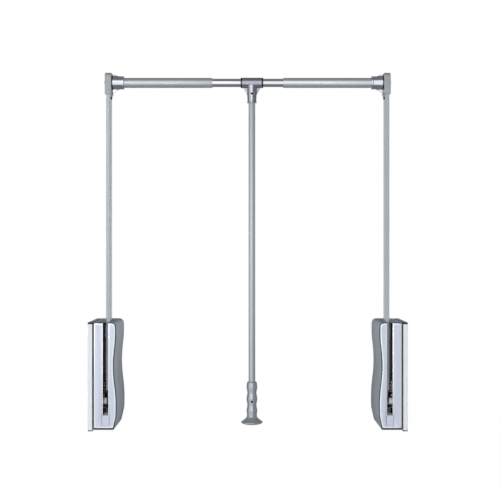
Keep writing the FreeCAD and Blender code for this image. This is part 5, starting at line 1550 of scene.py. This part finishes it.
@dataclass
class Studio:
    """Plain studio: a white surround, a pale floor, soft lamps and the camera.

    Places are in metres, and the floor's sizes, as those of every form, in millimetres. The floor lies well
    below the wall units, because the arms and the handle swing down past them.
    """

    distance: float = 2.065
    eye: float = 0.4255
    lens: float = 61.5
    shift: float = 0.0045
    sensor: float = 36.0
    cool: tuple[float, float, float, float] = (0.96, 0.98, 1.0, 1.0)
    ambient: float = 0.2
    overhead: Point = (0.1, 0.8)
    overhead_share: float = 0.12
    below: Point = (-0.05, -0.7)
    below_share: float = 0.3
    dim: float = 0.18
    behind: Point = (0.8, 0.98)
    back: float = 0.82
    floor_level: float = -1000.0
    floor_half: float = 6000.0
    floor_own_share: float = 0.8
    floor_own: float = 1.22
    floor_colour: Rgb = (250, 250, 250)
    floor_spread: float = 0.01
    floor_cloud: float = 400.0
    softboxes: tuple[Softbox, ...] = (
        Softbox(-76.0, 25.0, -40.0, 36.0, 26.0, 0.84),
        Softbox(-26.0, -6.0, 1.0, 15.0, 7.0, 1.6),
    )
    lamps: tuple[Lamp, ...] = (
        Lamp("key", (-0.13, -2.6, 0.4), (-0.1, 0.0, 0.3), 0.5, 0.9, 40.0),
        Lamp("fill", (-2.1, -1.7, 0.4), (-0.2, 0.0, 0.3), 1.2, 1.2, 10.0),
        Lamp("side_left", (-2.4, -0.2, 0.42), (0.3, 0.0, 0.2), 0.9, 0.6, 25.0),
        Lamp("side_right", (2.4, -0.2, 0.42), (-0.3, 0.0, 0.2), 0.9, 0.6, 33.0),
        Lamp("rear", (0.4, 2.6, 0.42), (0.0, 0.0, 0.42), 1.2, 1.2, 24.0),
    )

    def build(self) -> None:
        """Makes everything that isn't part of the object."""
        self.world()
        self.floor()
        for lamp in self.lamps:
            lamp.hang()
        self.camera()
        bpy.context.scene.view_settings.view_transform = "Standard"

    def ambience(self, graph: Graph) -> bpy.types.NodeSocket:
        """Level of the soft light from all round, which falls off overhead and below."""
        place = graph.add("ShaderNodeTexCoord").outputs["Generated"]
        rise = graph.add("ShaderNodeSeparateXYZ", {"Vector": place}).outputs["Z"]
        high, low = graph.step(rise, *self.overhead), graph.step(rise, *self.below)
        level = graph.math("MULTIPLY_ADD", high, self.ambient * (self.overhead_share - 1), self.ambient)
        return graph.math("MULTIPLY_ADD", low, self.ambient * (self.below_share - 1), level)

    def mirrored(self, graph: Graph) -> bpy.types.NodeSocket:
        """Level that metal mirrors: softboxes in front, the white background behind, and dim elsewhere."""
        place = graph.add("ShaderNodeTexCoord").outputs["Generated"]
        parts = graph.add("ShaderNodeSeparateXYZ", {"Vector": place}).outputs
        turn = graph.math("ARCTAN2", parts["X"], graph.math("MULTIPLY", parts["Y"], -1.0))
        rise = graph.math("ARCSINE", parts["Z"])
        level = graph.math("MULTIPLY_ADD", graph.step(parts["Y"], *self.behind), self.back, self.dim)
        for softbox in self.softboxes:
            level = graph.math("ADD", level, softbox.glow(graph, turn, rise))
        return level

    def world(self) -> None:
        """White surround for the camera, softboxes where metal mirrors it, and soft light elsewhere."""
        world = bpy.data.worlds.new("studio_surround")
        world.use_nodes = True
        bpy.context.scene.world = world
        graph = Graph(world.node_tree)
        light = graph.add("ShaderNodeLightPath").outputs
        seen = graph.math("MAXIMUM", light["Is Camera Ray"], light["Is Transmission Ray"])
        plain = graph.add("ShaderNodeBackground", {"Color": WHITE, "Strength": 1.0}).outputs[0]
        metal = {"Color": self.cool, "Strength": self.mirrored(graph)}
        boxes = graph.add("ShaderNodeBackground", metal).outputs[0]
        rest = {"Color": self.cool, "Strength": self.ambience(graph)}
        soft = graph.add("ShaderNodeBackground", rest).outputs[0]
        lit = graph.add("ShaderNodeMixShader", {0: light["Is Glossy Ray"], 1: soft, 2: boxes}).outputs[0]
        shown = graph.add("ShaderNodeMixShader", {0: seen, 1: lit, 2: plain}).outputs[0]
        graph.add("ShaderNodeOutputWorld", {"Surface": shown})

    def floor(self) -> None:
        """Pale floor that keeps a soft shadow: mostly its own white, with a share of lit surface."""
        form = Form()
        steps = np.linspace(-self.floor_half, self.floor_half, 9)
        x, y = np.meshgrid(steps, steps, indexing="ij")
        form.lattice(np.stack([x, y, np.full_like(x, self.floor_level)], axis=-1)[:, ::-1], wrap_cols=False)
        mesh = form.mesh("floor", closed=False)
        floor = bpy.data.objects.new("floor", mesh)
        bpy.context.scene.collection.objects.link(floor)
        paint = bpy.data.materials.new("pale_floor")
        paint.use_nodes = True
        graph = Graph(paint.node_tree)
        cloud = graph.noise(graph.coords(), self.floor_cloud)
        pale = graph.tint(cloud, self.floor_colour, self.floor_spread)
        lit = graph.add("ShaderNodeBsdfDiffuse", {"Color": pale}).outputs[0]
        own = graph.add("ShaderNodeEmission", {"Color": WHITE, "Strength": self.floor_own}).outputs[0]
        seen = graph.add("ShaderNodeLightPath").outputs["Is Camera Ray"]
        share = graph.math("MULTIPLY", seen, self.floor_own_share)
        both = graph.add("ShaderNodeMixShader", {0: share, 1: lit, 2: own}).outputs[0]
        graph.add("ShaderNodeOutputMaterial", {"Surface": both})
        mesh.materials.append(paint)
        floor.visible_glossy = floor.visible_diffuse = False

    def camera(self) -> None:
        """Camera at the photograph's place, level and straight ahead."""
        data = bpy.data.cameras.new("camera")
        data.lens, data.sensor_width, data.shift_x = self.lens, self.sensor, self.shift
        camera = bpy.data.objects.new("camera", data)
        camera.location = (0.0, -self.distance, self.eye)
        camera.rotation_euler = (math.pi / 2, 0.0, 0.0)
        bpy.context.scene.collection.objects.link(camera)
        bpy.context.scene.camera = camera


def dress_nodes(nodes: dict[str, bpy.types.Object]) -> None:
    """Gives each CAD node that stays its finish.

    Args:
        nodes: CAD nodes by name.
    """
    for name, node in nodes.items():
        finish = NODE_FINISHES.get(name.removeprefix("left_").removeprefix("right_"))
        if finish is None or node.hide_render:
            continue
        node.data.materials.clear()
        node.data.materials.append(finish.material())
        LOG.info("node %s dressed with %s", name, finish.name)


def main() -> None:
    """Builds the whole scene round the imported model."""
    logging.basicConfig(level=logging.INFO, format="%(name)s: %(message)s")
    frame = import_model()
    for side in Side:
        WallUnit(side).build()
        Lift(side).build()
    PullHandle().build()
    dress_nodes(frame["nodes"])
    Studio().build()


if __name__ == "__main__":
    main()
